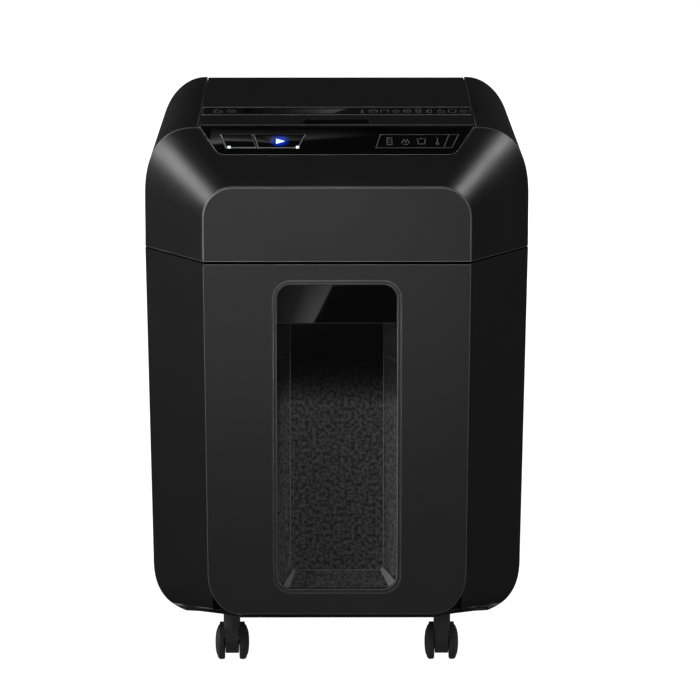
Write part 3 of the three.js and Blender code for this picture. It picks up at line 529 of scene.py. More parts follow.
# The creases, the lower corner facets and the crease bead are paler than the pane: painted highlights. The
# bead also darkens above the heap, as painted shade.
EDGE[PANE.name] = smoked("window_crease", 0.7, 0.11)
CORNER = smoked("window_corner", 0.6, 0.27)
BEAD_HIGHLIGHT = surface("window_bead_highlight", grey(0.15), 0.5, specular=0.1)
by_height(BEAD_HIGHLIGHT, "Base Color", ((0.08, 0.17), (0.25, 0.12), (0.31, 0.02), (0.38, 0.016)))
LENS = smoked("indicator_lens", 0.9, 0.002)


def lit(material, color, strength):
    """Makes a material give light."""
    shader = shader_of(material)
    shader.inputs["Emission Color"].default_value = (*color, 1)
    shader.inputs["Emission Strength"].default_value = strength
    return material


def glow(name, color, strength):
    return lit(surface(name, color, 0.4), color, strength)


BLUE_LIGHT = glow("arrow_light", (0.55, 0.78, 1.0), 1.1)
# Glowing white dots that stand in for glints at the keys' corners: painted glints, not lamps.
GLINT_GLOW = glow("painted_corner_glint", (0.85, 0.88, 0.95), 0.7)


def light_round(material, centre, reach, color, strength):
    """Makes a material glow round a point, centre, less and less out to reach, both in metres."""
    nodes, links = material.node_tree.nodes, material.node_tree.links
    away = nodes.new("ShaderNodeVectorMath")
    away.operation = "DISTANCE"
    away.inputs[1].default_value = centre
    links.new(nodes.new("ShaderNodeTexCoord").outputs["Object"], away.inputs[0])
    fade = span_node(material, away.outputs["Value"], 0.0, reach, strength, 0.0)
    fade.interpolation_type = "SMOOTHERSTEP"
    shader = shader_of(lit(material, color, strength))
    links.new(fade.outputs["Result"], shader.inputs["Emission Strength"])


# ---------------------------------------------------------------- cabinet and head covers
def grid(outlines, ys):
    return [[(x, y, z) for x, z in outline] for outline, y in zip(outlines, ys)]


def blend_outline(a, b, t):
    return [(lerp(p[0], q[0], t), lerp(p[1], q[1], t)) for p, q in zip(a, b)]


PAN_HALF = 118.0  # the base pan's thick middle lies between the side panels
PAN_WING = 145.0  # its front corners reach under the facets
THROUGH_FRONT, THROUGH_REAR = (-250, -150), (190, 220)  # y spans across the front or the rear covers


PAN_PLAN = mirrored([(92, -197), (110, -184), (PAN_WING, -168.5), (PAN_WING, -150),
                     (PAN_HALF - 0.3, -150), (PAN_HALF - 0.3, 203)])


def make_side_panels():
    rise = (SHOULDER_Y - FACET_END_Y) / (CABINET_SECTION["foot"] - CABINET_FRONT["foot"])
    for side, name in ((-1, "left_side_panel"), (1, "right_side_panel")):
        layers = []
        for inset in (0.0, WALL):
            sections = (CABINET_REAR, CABINET_SECTION, CABINET_FRONT)
            rear, wide, slim = (cabinet_corner(section, inset) for section in sections)
            # The flat facet meets the rounded lower corner further forward.
            lean = [SHOULDER_Y - rise * max(0.0, CABINET_SECTION["foot"] - inset - x) for x, _ in wide]
            lean[-1] = lean[-2]
            layers.append([
                [(side * x, REAR_RIM_Y, z) for x, z in rear],
                [(side * x, y, z) for (x, z), y in zip(wide, lean)],
                [(side * x, FACET_END_Y, z) for x, z in slim],
            ])
        obj = skin(f"{name}_cover", *layers)
        carve(obj, block("middle", (-PAN_HALF, PAN_HALF), (-300, 300), (0, SEAM_LOW_Z + 1)))
        piece(round_edges(obj, 0.7, 20), "cabinet", BLACK, "black_plastic", name)


def make_rear_panels():
    panel = prism("rear_panel_cover", cabinet_outline(CABINET_REAR), (REAR_RIM_Y + SEAM_GAP, BACK_Y))
    carve(panel, prism("recess", rounded_rectangle((-128, 128), (104, 356), 14), (BACK_Y - 0.9, BACK_Y + 5)))
    piece(round_edges(panel, 0.6), "cabinet", BLACK, "black_plastic", "rear_panel")

    cover = prism("rear_cover_moulding", head_outline(HEAD_REAR), (REAR_RIM_Y + SEAM_GAP, BACK_Y))
    low_rim = 500.8  # clear of the lid's rear edge as it swings
    tools = [block("trench", (-TRENCH_HALF, TRENCH_HALF), THROUGH_REAR, (low_rim, 600))]
    for row in range(7):
        z = 414 + 10 * row
        tools.append(prism("vent", rounded_rectangle((20, 110), (z, z + 4.5), 2, 6), THROUGH_REAR))
    x, _, z = middle_of("rear_power_rocker")
    switch = rounded_rectangle((x - 7, x + 7), (z - 11, z + 11), 1.5, 4)
    tools.append(prism("switch_hole", switch, THROUGH_REAR))
    x, _, z = middle_of("cord_gland")
    tools.append(turned("gland_hole", rod(7, *THROUGH_REAR), (x, 0, z), "Y", 40))
    carve(cover, *tools)
    piece(round_edges(cover, 0.6), "cabinet", BLACK, "black_plastic", "rear_cover")


def shoulder_path(shape):
    """From the seam over the shoulder and down inside the lid's trench, on the right."""
    centre = (shape["half"] - shape["rx"], shape["top"] - shape["rz"])
    corner = arc(centre, (shape["rx"], shape["rz"]), 0, 86, 40, shape["power"])
    return [(shape["half"], SEAM_HIGH_Z)] + corner + [(TRENCH_HALF, shape["top"]), (TRENCH_HALF, 478)]


def make_shoulders():
    ys = (SHOULDER_Y + SEAM_GAP, REAR_RIM_Y)
    for side, name in ((-1, "left_shoulder"), (1, "right_shoulder")):
        paths = [shoulder_path(HEAD_SECTION), shoulder_path(HEAD_REAR)]
        layers = []
        for depth in (0.0, 2.6):
            lines = [[(side * x, z) for x, z in offset_path(path, depth)] for path in paths]
            layers.append(grid(lines, ys))
        obj = skin(f"{name}_cover", *layers)
        piece(round_edges(obj, 0.7, 25), "cabinet", LID_BLACK, "black_plastic", name)


SLOPE = math.atan2(TOP_Z - FRONT_TOP_Z, SHOULDER_Y - FACET_END_Y)
ON_SLOPE = Matrix.Translation((0, SHOULDER_Y, TOP_Z)) @ Matrix.Rotation(SLOPE, 4, "X")
PANEL_TOP, PANEL_BOTTOM = -0.6, -44.0  # down the slope from the shoulder line
PANEL_TOP_HALF, PANEL_BOTTOM_HALF = 129.4, 111.0
PANEL_FACE = 1.2  # the gloss stands this proud of the bezel


def control_outline(grow=0.0, top=PANEL_TOP):
    bottom, radius = PANEL_BOTTOM - grow, 7.0
    lean = (PANEL_TOP_HALF - PANEL_BOTTOM_HALF) / (PANEL_TOP - PANEL_BOTTOM)

    def half_at(y):
        return PANEL_BOTTOM_HALF + grow + lean * (y - PANEL_BOTTOM)

    right, steps = [], 8
    corner = (half_at(bottom), bottom)
    start, end = (corner[0] - radius, bottom), (half_at(bottom + radius), bottom + radius)
    for i in range(steps + 1):
        t = i / steps
        right.append(tuple(lerp(lerp(a, b, t), lerp(b, c, t), t) for a, b, c in zip(start, corner, end)))
    return mirrored(right + [(half_at(top), top)])


def make_bezel():
    steps = 10
    layers = []
    for inset in (0.0, WALL):
        wide = head_outline(HEAD_SECTION, inset)
        slim = head_outline(HEAD_FRONT, inset)
        rows = [blend_outline(wide, slim, i / steps) for i in range(steps + 1)]
        ys = [lerp(SHOULDER_Y - SEAM_GAP, FACET_END_Y, i / steps) for i in range(steps + 1)]
        layers.append(grid(rows, ys))
    obj = skin("front_bezel_cover", *layers)
    carve(obj, prism("panel_hole", control_outline(0.5, top=20), (-20, 20), "Z", ON_SLOPE))
    piece(round_edges(obj, 0.8, 25), "cabinet", BLACK, "black_plastic", "front_bezel")


def make_front_panels():
    depth = (FRONT_Y, FRONT_Y + PANEL)
    head = prism("head_front_panel_cover", head_outline(HEAD_FRONT, 0.2, SEAM_HIGH_Z + 0.7), depth)
    piece(round_edges(head, 0.9, segments=4), "cabinet", CHARCOAL, "charcoal_satin", "head_front_panel")

    panel = prism("bin_front_panel_cover", cabinet_outline(CABINET_FRONT, 0.2, top=SEAM_LOW_Z - 0.2), depth)
    hole = rounded_rectangle((-RING_HALF - 0.3, RING_HALF + 0.3), (RING_Z[0] - 0.3, RING_Z[1] + 0.3), 17, 14)
    carve(panel, prism("hole", hole, THROUGH_FRONT))
    piece(round_edges(panel, 0.9, segments=4), "bin", CHARCOAL, "charcoal_satin", "bin_front_panel")


# ---------------------------------------------------------------- bin window
HEAP_TOP = 304.0


def make_window():
    low, high = box("window_trim_ring")
    rim = 3.3
    outline = rounded_rectangle((-RING_HALF, RING_HALF), RING_Z, 16.7, 14)
    ring = prism("window_trim", outline, (low.y, high.y))
    inner = RING_HALF - rim
    opening = rounded_rectangle((-inner, inner), (RING_Z[0] + rim, RING_Z[1] - rim), 13.4, 14)
    carve(ring, prism("hole", opening, THROUGH_FRONT))
    piece(round_edges(ring, 0.7, segments=4), "bin", CHARCOAL, "charcoal_satin", "window_trim_ring")

    # The pane: a narrow flange, sides that slope in and a flat back, with soft creases.
    half, foot, top, bevel, steps = inner - 0.2, 82.5, 376.0, 13.0, 10
    lip_y, back_y = -204.0, box("window_pane")[1].y - 2
    flange = rounded_rectangle((-half - 1, half + 1), (foot - 1, top + 1), 14, steps)
    front = rounded_rectangle((-half, half), (foot, top), 13, steps)
    back = rounded_rectangle((-CREASE_X, CREASE_X), (foot + bevel, top), 6, steps)
    rims = ((flange, lip_y), (front, lip_y), (back, back_y))
    points = [(x, y, z) for outline, y in rims for x, z in outline]
    count = len(front)
    faces = []
    for r in range(2):
        for i in range(count):
            a, b = r * count + i, r * count + (i + 1) % count
            faces.append((a, b, b + count, a + count))
    faces.append(tuple(range(2 * count, 3 * count)))
    pane = raw("window_pane_tray", points, faces)
    solid = pane.modifiers.new("thickness", "SOLIDIFY")
    solid.thickness = 2.0 * MM
    solid.offset = -1
    apply_modifiers(pane)
    piece(round_edges(pane, 1.0, 18, segments=4), "bin", PANE, "smoked_window", "window_pane")

    # A fine bead follows the creases, from under the handle round the foot; its pale colour is a painted
    # highlight.
    handle_low, handle_high = box("handle_panel")
    bead_top = handle_low.z - 2
    quarter = steps + 1
    path = [(-CREASE_X, bead_top)] + back[2 * quarter:4 * quarter] + [(CREASE_X, bead_top)]
    face_y = back_y - 0.02
    bead = strokes("window_crease_bead", [(path, False)], 0.9, 0.2, lambda a, b, h: (a, face_y - h, b))
    piece(bead, "bin", BEAD_HIGHLIGHT, "smoked_window")
    # The lower corners between the sloping sides get pale facets: a painted highlight.
    corners = []
    for turns in (range(28, 32), range(36, 41)):
        layers = []
        for lift in (0.1, 0.4):
            rims = ((front, lip_y - lift), (back, back_y - lift))
            layers.append([[(outline[i][0], y, outline[i][1]) for i in turns] for outline, y in rims])
        corners.append(skin("corner", *layers))
    piece(merged("window_corner_highlight_facets", corners), "bin", CORNER, "smoked_window")

    half = min(handle_high.x, inner - 0.4)
    outline = rounded_rectangle((-half, half), (handle_low.z - 40, handle_high.z), 13, 12)
    handle = prism("handle_plate", outline, (handle_low.y, handle_high.y))
    carve(handle, block("below", (-80, 80), (-230, -190), (0, handle_low.z)))
    piece(round_edges(handle, 0.6, segments=4), "bin", GLOSS_HANDLE, "gloss_black", "handle_panel")


def make_tub():
    low, high = box("bin_tub")
    half = high.x
    shape = dict(half=half, foot=half, low=low.z, rx=24, rz=34, power=2)
    outer = cabinet_outline(shape, 0, top=high.z)
    inner = cabinet_outline(shape, 2.4, top=high.z + 5)
    tub = prism("bin_tub_shell", outer, (low.y, high.y))
    window = prism("window", rounded_rectangle((-61.5, 61.5), (78, 379), 15, 8), (-250, -180))
    carve(tub, prism("room", inner, (low.y + 2.4, high.y - 2.4)), window)
    piece(round_edges(tub, 0.8), "bin", TUB, "inner_plastic", "bin_tub")


def heap_height(x, y):
    swell = 9 * math.cos(x / 90) * math.cos(y / 160)
    return HEAP_TOP - 14 + swell + 9 * noise.noise(Vector((x / 45, y / 45, 3.1)))


def make_paper():
    """Cross-cut paper in the bin: a lumpy core, covered with loose chips."""
    rng = random.Random(41)
    low, high = box("bin_tub")
    x_half, y_front, y_back, floor = high.x - 4, -181.5, high.y - 5, low.z + 4
    columns, rows = 44, 60
    points, faces = [], []
    for r in range(rows + 1):
        for c in range(columns + 1):
            x, y = lerp(-x_half, x_half, c / columns), lerp(y_front, y_back, r / rows)
            points.append((x, y, heap_height(x, y) - 2))
    for r in range(rows):
        for c in range(columns):
            a = r * (columns + 1) + c
            faces.append((a, a + 1, a + columns + 2, a + columns + 1))
    rim = list(range(columns + 1)) + [r * (columns + 1) + columns for r in range(1, rows + 1)]
    rim += [rows * (columns + 1) + c for c in range(columns - 1, -1, -1)]
    rim += [r * (columns + 1) for r in range(rows - 1, 0, -1)]
    first = len(points)
    for index in rim:
        x, y, _ = points[index]
        corner = 26.0
        reach = max(0.0, abs(x) - (x_half - corner))
        points.append((x, y, floor + corner - math.sqrt(max(corner ** 2 - reach ** 2, 0.0))))
    count = len(rim)
    faces += [(rim[i], rim[(i + 1) % count], first + (i + 1) % count, first + i) for i in range(count)]
    faces.append(tuple(range(first, first + count)))
    core = raw("paper_core", points, faces)
    piece(core, "bin", PAPER_SHADE, "inner_plastic")

    # What shows through the pane is pressed flat against its middle, foot and sides.
    front = rounded_rectangle((-56.6, 56.6), (82.0, HEAP_TOP), 3, 4)
    back = rounded_rectangle((-44.9, 44.9), (93.8, HEAP_TOP), 3, 4)
    count = len(front)
    points = [(x, -201.0, z) for x, z in front] + [(x, -183.4, z) for x, z in back]
    sides = [i for i in range(count) if min(front[i][1], front[(i + 1) % count][1]) < HEAP_TOP - 0.1]
    faces = [(i, (i + 1) % count, count + (i + 1) % count, count + i) for i in sides]
    faces.append(tuple(range(count, 2 * count)))
    face = raw("paper_face", points, faces)
    # The sloping sides take the paler paper copy, painted light.
    for polygon in face.data.polygons:
        polygon.material_index = int(len(polygon.vertices) == 4)  # the sloping sides
    piece(face, "bin", PAPER_FACE, "inner_plastic")

    points, faces = [], []

    def chip(centre, along, across, lift, length, width, curl):
        base = len(points)
        for i in range(4):
            t = i / 3 - 0.5
            bend = lift * (curl * (0.25 - t * t) * 4)
            for side in (-0.5, 0.5):
                points.append(centre + along * (t * length) + across * (side * width) + bend)
        for i in range(3):
            a = base + 2 * i
            faces.append((a, a + 1, a + 3, a + 2))

    def scatter(centre, normal, tilt, sizes):
        """A chip lying roughly across normal, turned and tipped at random."""
        turn = Matrix.Rotation(rng.uniform(0, math.pi * 2), 3, normal)
        tangent = turn @ normal.orthogonal().normalized()
        tangent = (tangent + normal * rng.uniform(-tilt, tilt)).normalized()
        across = normal.cross(tangent).normalized()
        across = (across + normal * rng.uniform(-tilt, tilt)).normalized()
        length, width, curl = rng.uniform(*sizes[0]), rng.uniform(*sizes[1]), rng.uniform(-1.2, 1.2)
        chip(centre, tangent, across, tangent.cross(across), length, width, curl)

    sizes = ((6.0, 11.0), (2.6, 3.8))
    for _ in range(3600):
        x, y = rng.uniform(-x_half + 3, x_half - 3), rng.uniform(y_front + 3, y_back - 3)
        scatter(Vector((x, y, heap_height(x, y) + rng.uniform(-2, 2.5))), Vector((0, 0, 1)), 0.5, sizes)
    chips = raw("paper_chips", points, faces)
    piece(chips, "bin", PAPER, "inner_plastic")
    chips.modifiers.clear()


# ---------------------------------------------------------------- control panel
def strokes(name, lines, width, height, place):
    """Thin raised lines along open or closed paths; place turns (a, b, h) into a point."""
    points, faces = [], []
    for path, closed in lines:
        left = ribbon_side(path, closed, width / 2)
        right = ribbon_side(path, closed, -width / 2)
        count = len(path)
        base = len(points)
        for rail, h in ((left, height), (right, height), (right, 0.0), (left, 0.0)):
            points += [place(a, b, h) for a, b in rail]
        for i in range(count if closed else count - 1):
            j = (i + 1) % count
            for rail in range(4):
                a, b = base + rail * count, base + (rail + 1) % 4 * count
                faces.append((a + i, a + j, b + j, b + i))
        if not closed:
            for i in (0, count - 1):
                faces.append(tuple(base + rail * count + i for rail in range(4)))
    return raw(name, points, faces)


def ribbon_side(path, closed, distance):
    if not closed:
        return offset_path(path, distance)
    wrapped = [path[-1]] + list(path) + [path[0]]
    return offset_path(wrapped, distance)[1:-1]


def circle(a, b, radius, steps=14):
    turns = [2 * math.pi * i / steps for i in range(steps)]
    return [(a + radius * math.cos(turn), b + radius * math.sin(turn)) for turn in turns]


# Plain pictograms in a unit square, as (path, closed) lists.
SHEET = [([(0.2, 0), (0.8, 0), (0.8, 1), (0.2, 1)], True), ([(0.35, 0.35), (0.65, 0.35)], False),
         ([(0.35, 0.65), (0.65, 0.65)], False)]
FAN = [([(0, 0.2), (0.3, 0.8), (0.5, 0.35), (0.7, 0.8), (1, 0.2)], False),
       ([(0.2, 0.05), (0.8, 0.05)], False)]
TRAY = [([(0, 0.9), (0.12, 0.1), (0.88, 0.1), (1, 0.9)], False), ([(0.25, 0.9), (0.75, 0.9)], False)]
HEAT = [(circle(0.5, 0.18, 0.16), True), ([(0.5, 0.34), (0.5, 1)], False)]
DISC = [(circle(0.5, 0.5, 0.48), True), (circle(0.5, 0.5, 0.14, 8), True)]
CARD = [([(0, 0.2), (1, 0.2), (1, 0.8), (0, 0.8)], True), ([(0, 0.6), (1, 0.6)], False)]
CLIP = [([(0.3, 0.2), (0.3, 0.9), (0.7, 0.9), (0.7, 0.05), (0.1, 0.05), (0.1, 0.7)], False)]
STAPLE = [([(0.05, 0.1), (0.05, 0.8), (0.95, 0.8), (0.95, 0.1)], False)]
HAND = [([(0.1, 0.1), (0.1, 0.5), (0.35, 0.9), (0.5, 0.55), (0.9, 0.55), (0.9, 0.1)], True)]


def scaled(marks, origin, size):
    (x, y), (width, height) = origin, size
    return [([(x + a * width, y + b * height) for a, b in path], closed) for path, closed in marks]


KEY_Y = (-34.0, -13.0)
POWER_KEY = (-109.5, -80.0, -75.5, -104.0)  # x at the top left, top right, bottom right, bottom left
FORWARD_KEY = (-78.5, -29.5, -36.5, -74.0)
INDICATOR = (41.0, 115.0, 108.0, 36.5)


ARROW_MIDDLE = (-53.8, -23.8)


def key_outline(key, grow=0.0):
    a, b, c, d = key
    low, high = KEY_Y[0] - grow, KEY_Y[1] + grow
    return [(a - grow, high), (d - grow, low), (c + grow, low), (b + grow, high)]


def arrow_outline(grow):
    x, y = ARROW_MIDDLE
    back, tip, half = x - 3.2 - grow, x + 4.4 + 1.6 * grow, 3.5 + 1.6 * grow
    return [(back, y - half), (tip, y), (back, y + half)]


def on_slope(a, b, h):
    return ON_SLOPE @ Vector((a, b, h))


def make_control_panel():
    plate = prism("control_panel_plate", control_outline(), (PANEL_FACE - 3, PANEL_FACE), "Z", ON_SLOPE)
    holes = []
    for key, grow, floor in ((POWER_KEY, 0.5, -10), (FORWARD_KEY, 0.5, -10), (INDICATOR, 0, 0)):
        holes.append(prism("hole", key_outline(key, grow), (floor, 10), "Z", ON_SLOPE))
    carve(plate, *holes)
    piece(round_edges(plate, 0.6), "cabinet", GLOSS, "gloss_black", "control_panel")

    key_top = PANEL_FACE + 0.8
    keys = ((POWER_KEY, "power_button", GLOSS), (FORWARD_KEY, "forward_button", GLOSS_LIT))
    for key, name, material in keys:
        cap = prism(f"{name}_cap", key_outline(key), (-8, key_top), "Z", ON_SLOPE)
        if name == "forward_button":
            carve(cap, prism("arrow_hole", arrow_outline(0.3), (key_top - 1.3, key_top + 5), "Z", ON_SLOPE))
        piece(round_edges(cap, 0.7), name, material, "gloss_black", name)
    light_round(GLOSS_LIT, on_slope(*ARROW_MIDDLE, key_top) * MM, 0.0115, (0.0, 0.045, 0.75), 0.85)
    arrow = prism("arrow_light", arrow_outline(0), (key_top - 1, key_top + 0.1), "Z", ON_SLOPE)
    piece(round_edges(arrow, 0.15), "forward_button", BLUE_LIGHT, "arrow_light", "arrow_light_guide")

    # Two glowing dots at the keys' lower corners: painted glints.
    dots = []
    for x in (POWER_KEY[3] + 3.0, FORWARD_KEY[2] - 0.5):
        dot = turned("dot", [(0, 0), (1.9, 0), (1.5, 0.7), (0, 1.0)], (0, 0, 0), "Z", 20)
        place = on_slope(x, KEY_Y[0] + 1.2, PANEL_FACE + 0.2) * MM
        dot.data.transform(Matrix.Translation(place) @ ON_SLOPE.to_3x3().to_4x4())
        dots.append(dot)
    piece(merged("key_corner_glints", dots), "cabinet", GLINT_GLOW, "arrow_light")
    lens = prism("indicator_window", key_outline(INDICATOR, -0.3), (0.3, PANEL_FACE + 0.3), "Z", ON_SLOPE)
    piece(round_edges(lens, 0.3), "cabinet", LENS, "smoked_window", "indicator_lens")

    def on_lens(a, b, h):
        return on_slope(a, b, PANEL_FACE + 0.32 + h)

    marks = []
    size = (7.5, 10.5)
    for x, mark in ((49.5, SHEET), (64.5, FAN), (79.5, TRAY), (94.5, HEAT)):
        marks += scaled(mark, (x - size[0] / 2, -29), size)
    marks.append(([(100.5, KEY_Y[0] + 0.8), (105.5, KEY_Y[1] - 0.8)], False))
    piece(strokes("indicator_marks", marks, 0.8, 0.06, on_lens), "cabinet", PRINT, "gloss_black")
    rim = [(key_outline(INDICATOR, -0.2), True)]
    piece(strokes("indicator_frame", rim, 0.6, 0.05, on_lens), "cabinet", PRINT, "gloss_black")


# ---------------------------------------------------------------- lid
def make_lid():
    half = LID_HIGH.x
    wall = 2.8
    front, rear = LID_LOW.y, LID_HIGH.y
    (ridge_y, ridge_z), (fore_y, fore_z) = STRIP_REAR, STRIP_FORE
    front_z, rear_z = TOP_Z - 0.2, REAR_TOP_Z
    skirt, below = 501.3, 480  # the lid's lower edge, and a height clear under it
    outer = [(rear, skirt), (rear, rear_z), STRIP_REAR, STRIP_FORE, (front, front_z), (front, skirt)]
    inner = [(rear - wall, below), (rear - wall, rear_z - wall), (ridge_y, ridge_z - wall),
             (fore_y, fore_z - wall), (front + wall, front_z - wall), (front + wall, below)]
    lid = prism("lid_cover", outer, (-half, half), "X")
    carve(lid, prism("room", inner, (-half + wall, half - wall), "X"))
    hinge = joint_place("lid_hinge")
    ears = []
    for side in (-1, 1):
        span = tuple(sorted((side * half, side * (half - wall - 1))))
        ears.append(block("ear", span, (hinge.y - 5, hinge.y + 5), (hinge.z - 4.2, hinge.z + 2)))
    join(lid, block("pocket_floor", (-34, 34), (-102, -72), (505, 509.5)), *ears)
    rise = (ridge_z - fore_z) / (ridge_y - fore_y)

    def strip_section(gap, low, high):
        y0, z0 = ridge_y - gap, ridge_z - rise * gap
        y1, z1 = fore_y + gap, fore_z + rise * gap
        return [(y0, z0 + high), (y0, z0 + low), (y1, z1 + low), (y1, z1 + high)]

    pocket = prism("pocket", rounded_rectangle((-32, 32), (-100, -74), 3, 5), (506.2, 530), "Z")
    bore = turned("bore", rod(2.9, -150, 150), (0, hinge.y, hinge.z), "X", 24)
    carve(lid, pocket, prism("groove", strip_section(0.4, -1.4, 10), (-half + 1.2, half - 1.2), "X"), bore)
    piece(round_edges(lid, 0.7), "lid", LID_BLACK, "black_plastic", "lid")
    strip = prism("lid_strip", strip_section(0.8, -1.1, 0.05), (-half + 1.5, half - 1.5), "X")
    piece(round_edges(strip, 0.3), "lid", GLOSS, "gloss_black", "lid_gloss_strip")

    normal = Vector((0, -rise, 1)).normalized()
    along = Vector((0, 1, rise)).normalized()
    origin = Vector((0, fore_y, fore_z + 0.06))

    def on_strip(a, b, h):
        return origin + Vector((a, 0, 0)) + along * b + normal * h

    marks = []
    for i, mark in enumerate((HEAT, CARD, STAPLE, FAN, DISC, SHEET, CLIP, HAND, TRAY, FAN)):
        marks += scaled(mark, (21 + 10.9 * i, 7.5), (7.5, 13))
    for x, mark in ((-119, HAND), (-106, FAN)):
        marks += scaled(mark, (x, 7.5), (9, 13))
    piece(strokes("lid_marks", marks, 0.8, 0.05, on_strip), "lid", PRINT_DIM, "gloss_black")


def make_leaf_spring():
    """The spring between the lid and the pressure plate, in the CAD node's shape."""
    spring = added("leaf_spring", frame["nodes"]["pressure_leaf_spring"].data.copy())
    piece(round_edges(spring, 0.1), "lid", STEEL, "zinc_steel", "pressure_leaf_spring")
    bpy.context.view_layer.update()
    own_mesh(spring)


def make_top_ribs():
    """Fine ribs beside the gloss strip and the hand-feed slot, in a pale finish that paints a highlight
    along them.
    """
    half = LID_HIGH.x - 0.8
    spans = (
        ((STRIP_HIGH.y + 0.2, STRIP_HIGH.y + 0.9), (LID_HIGH.z - 0.8, LID_HIGH.z + 0.2)),
        ((STRIP_LOW.y - 0.9, STRIP_LOW.y - 0.2), (STRIP_LOW.z + 0.2, STRIP_LOW.z + 1.5)),
        ((LID_LOW.y + 2.2, LID_LOW.y + 2.9), (TOP_Z - 1.2, TOP_Z + 0.25)),
    )
    ribs = [round_edges(block("rib", (-half, half), *span), 0.15) for span in spans]
    piece(merged("lid_ribs", ribs), "lid", RIB_HIGHLIGHT, "black_plastic")
    depth = (SHOULDER_Y - 1.6, SHOULDER_Y - 0.8)
    slot_rib = block("slot_rib", (-half, half), depth, (TOP_Z - 0.7, TOP_Z + 0.5))
    piece(round_edges(slot_rib, 0.15), "cabinet", RIB_HIGHLIGHT, "black_plastic")


# ---------------------------------------------------------------- casters and base
def make_base():
    low, high = box("base_pan")
    pan = prism("base_pan_moulding", PAN_PLAN, (low.z - 0.2, low.z + WALL), "Z")
    inner = PAN_HALF - 0.3
    middle = mirrored([(90, -195), (108, -182), (inner, -178), (inner, 203)])
    join(pan, prism("middle", middle, (low.z + 1, high.z), "Z"))
    pitch, half = 45, 20
    depth = (low.z - 5, high.z - WALL)
    tools = []
    for i in range(4):
        for j in range(7):
            x, y = (i - 1.5) * pitch, (j - 3) * pitch
            tools.append(block("pocket", (x - half, x + half), (y - half, y + half), depth))
    for place in CASTER_PLACES:
        stem = joint_place(f"caster_{place}_swivel")
        tools.append(turned("hole", rod(5, -10, 30), (stem.x, stem.y, low.z), "Z", 32))
    carve(pan, *tools)
    piece(round_edges(pan, 0.5), "cabinet", BLACK, "black_plastic", "base_pan")


CASTER_PLACES = ("front_left", "front_right", "rear_left", "rear_right")


def make_caster(place):
    stem = joint_place(f"caster_{place}_swivel")
    axle = joint_place(f"caster_{place}_left_roll")
    x, y, z = stem.x, axle.y, axle.z
    node = f"caster_{place}_housing"
    top = box(node)[1].z
    body = f"caster_{place}"
    radius = axle.z  # the wheels stand on the floor

    # The central body: a rounded web that flares into the hood above the wheels.
    web = [(y + 14, z - 4), (y + 15, z + 3), (y + 12, z + 12), (y + 4, z + 19), (stem.y - 7, z + 20),
           (stem.y - 7, z + 6), (y - 9, z - 7.5), (y - 4, z - 10.4), (y + 6, z - 10.4)]
    core = prism(f"{body}_web", web, (x - 6.3, x + 6.3), "X")
    sweep = [math.radians(lerp(25, 151, i / 24)) for i in range(25)]
    arcs = ((radius + 2.2, sweep), (radius + 0.8, sweep[::-1]))
    hood = [(y + r * math.cos(a), z + r * math.sin(a)) for r, turns in arcs for a in turns]
    shell = prism(f"{body}_hood", hood, (x - 12, x + 12), "X")
    seat = FOOT_Z - 0.6
    post_profile = [(0, z + 15), (7.4, z + 15), (8, z + 19), (8, seat - 1), (7.4, seat), (0, seat)]
    post = turned(f"{body}_post", post_profile, (x, stem.y, 0), "Z", 48)
    pin = turned(f"{body}_pin", rod(4.5, seat - 1, top), (x, stem.y, 0), "Z", 24)
    axle_rod = turned(f"{body}_axle", rod(3, x - 15.4, x + 15.4), (0, y, z), "X", 24)
    join(core, shell, post, pin, axle_rod)
    core.name = f"{body}_frame"
    piece(round_edges(core, 0.7, 28), body, CASTER, "caster_nylon", node)

    tread = [(3.35, 7), (12.6, 7), (13.2, 7.8), (15.2, 7.8), (15.8, 7), (radius - 0.5, 7.4), (radius, 8.6),
             (radius, 11.6), (radius - 0.5, 12.6), (15.7, 13.3), (14.6, 14), (14.2, 13.7), (12.4, 14.8),
             (10.2, 15.4), (8, 15.8), (5, 16.1), (3.35, 16.2)]
    for side, word in ((-1, "left"), (1, "right")):
        profile = [(r, side * a) for r, a in tread]
        wheel = turned(f"{body}_{word}_wheel_round", profile, (x, y, z), "X", 72)
        piece(wheel, f"{body}_{word}_wheel", TREAD, "caster_nylon", f"caster_{place}_wheel_{word}")


# ---------------------------------------------------------------- inside pieces
def make_feed():
    centre = joint_place("feed_rollers_spin")
    for word in ("left", "right"):
        node = f"feed_roller_{word}"
        low, high = box(node)
        radius = (high.z - low.z) / 2
        groove, grooves = radius - 0.7, 12
        profile = [(4.4, low.x)]
        for i in range(grooves):
            a, b = lerp(low.x, high.x, i / grooves), lerp(low.x, high.x, (i + 1) / grooves)
            profile += [(groove, a + 0.3), (radius, a + 0.8), (radius, b - 0.8), (groove, b - 0.3)]
        profile += [(4.4, high.x)]
        obj = turned(f"{node}_tyre", profile, (0, centre.y, centre.z), "X", 64)
        piece(obj, "feed_rollers", RUBBER, "feed_rubber", node)


PLAIN = (
    (BOARD, "control_board"), (RUBBER, "cord_gland"), (GLOSS, "rear_power_rocker"),
    (NYLON, "feed_gear reduction_gear"), (CUTTER, "front_cutter_discs rear_cutter_discs"),
    (INNER, "feed_tray throat_guide head_chassis pressure_plate front_stripper_comb rear_stripper_comb"),
    (STEEL, "left_side_plate right_side_plate front_cutter_shaft rear_cutter_shaft front_cutter_gear"),
    (STEEL, "rear_cutter_gear drive_motor motor_pinion feed_shaft lid_hinge_pin_left lid_hinge_pin_right"),
)


def dress_nodes():
    """Gives the inside nodes, which keep their own meshes, their materials."""
    for material, names in PLAIN:
        for name in names.split():
            mesh = frame["nodes"][name].data
            mesh.materials.clear()
            mesh.materials.append(material)


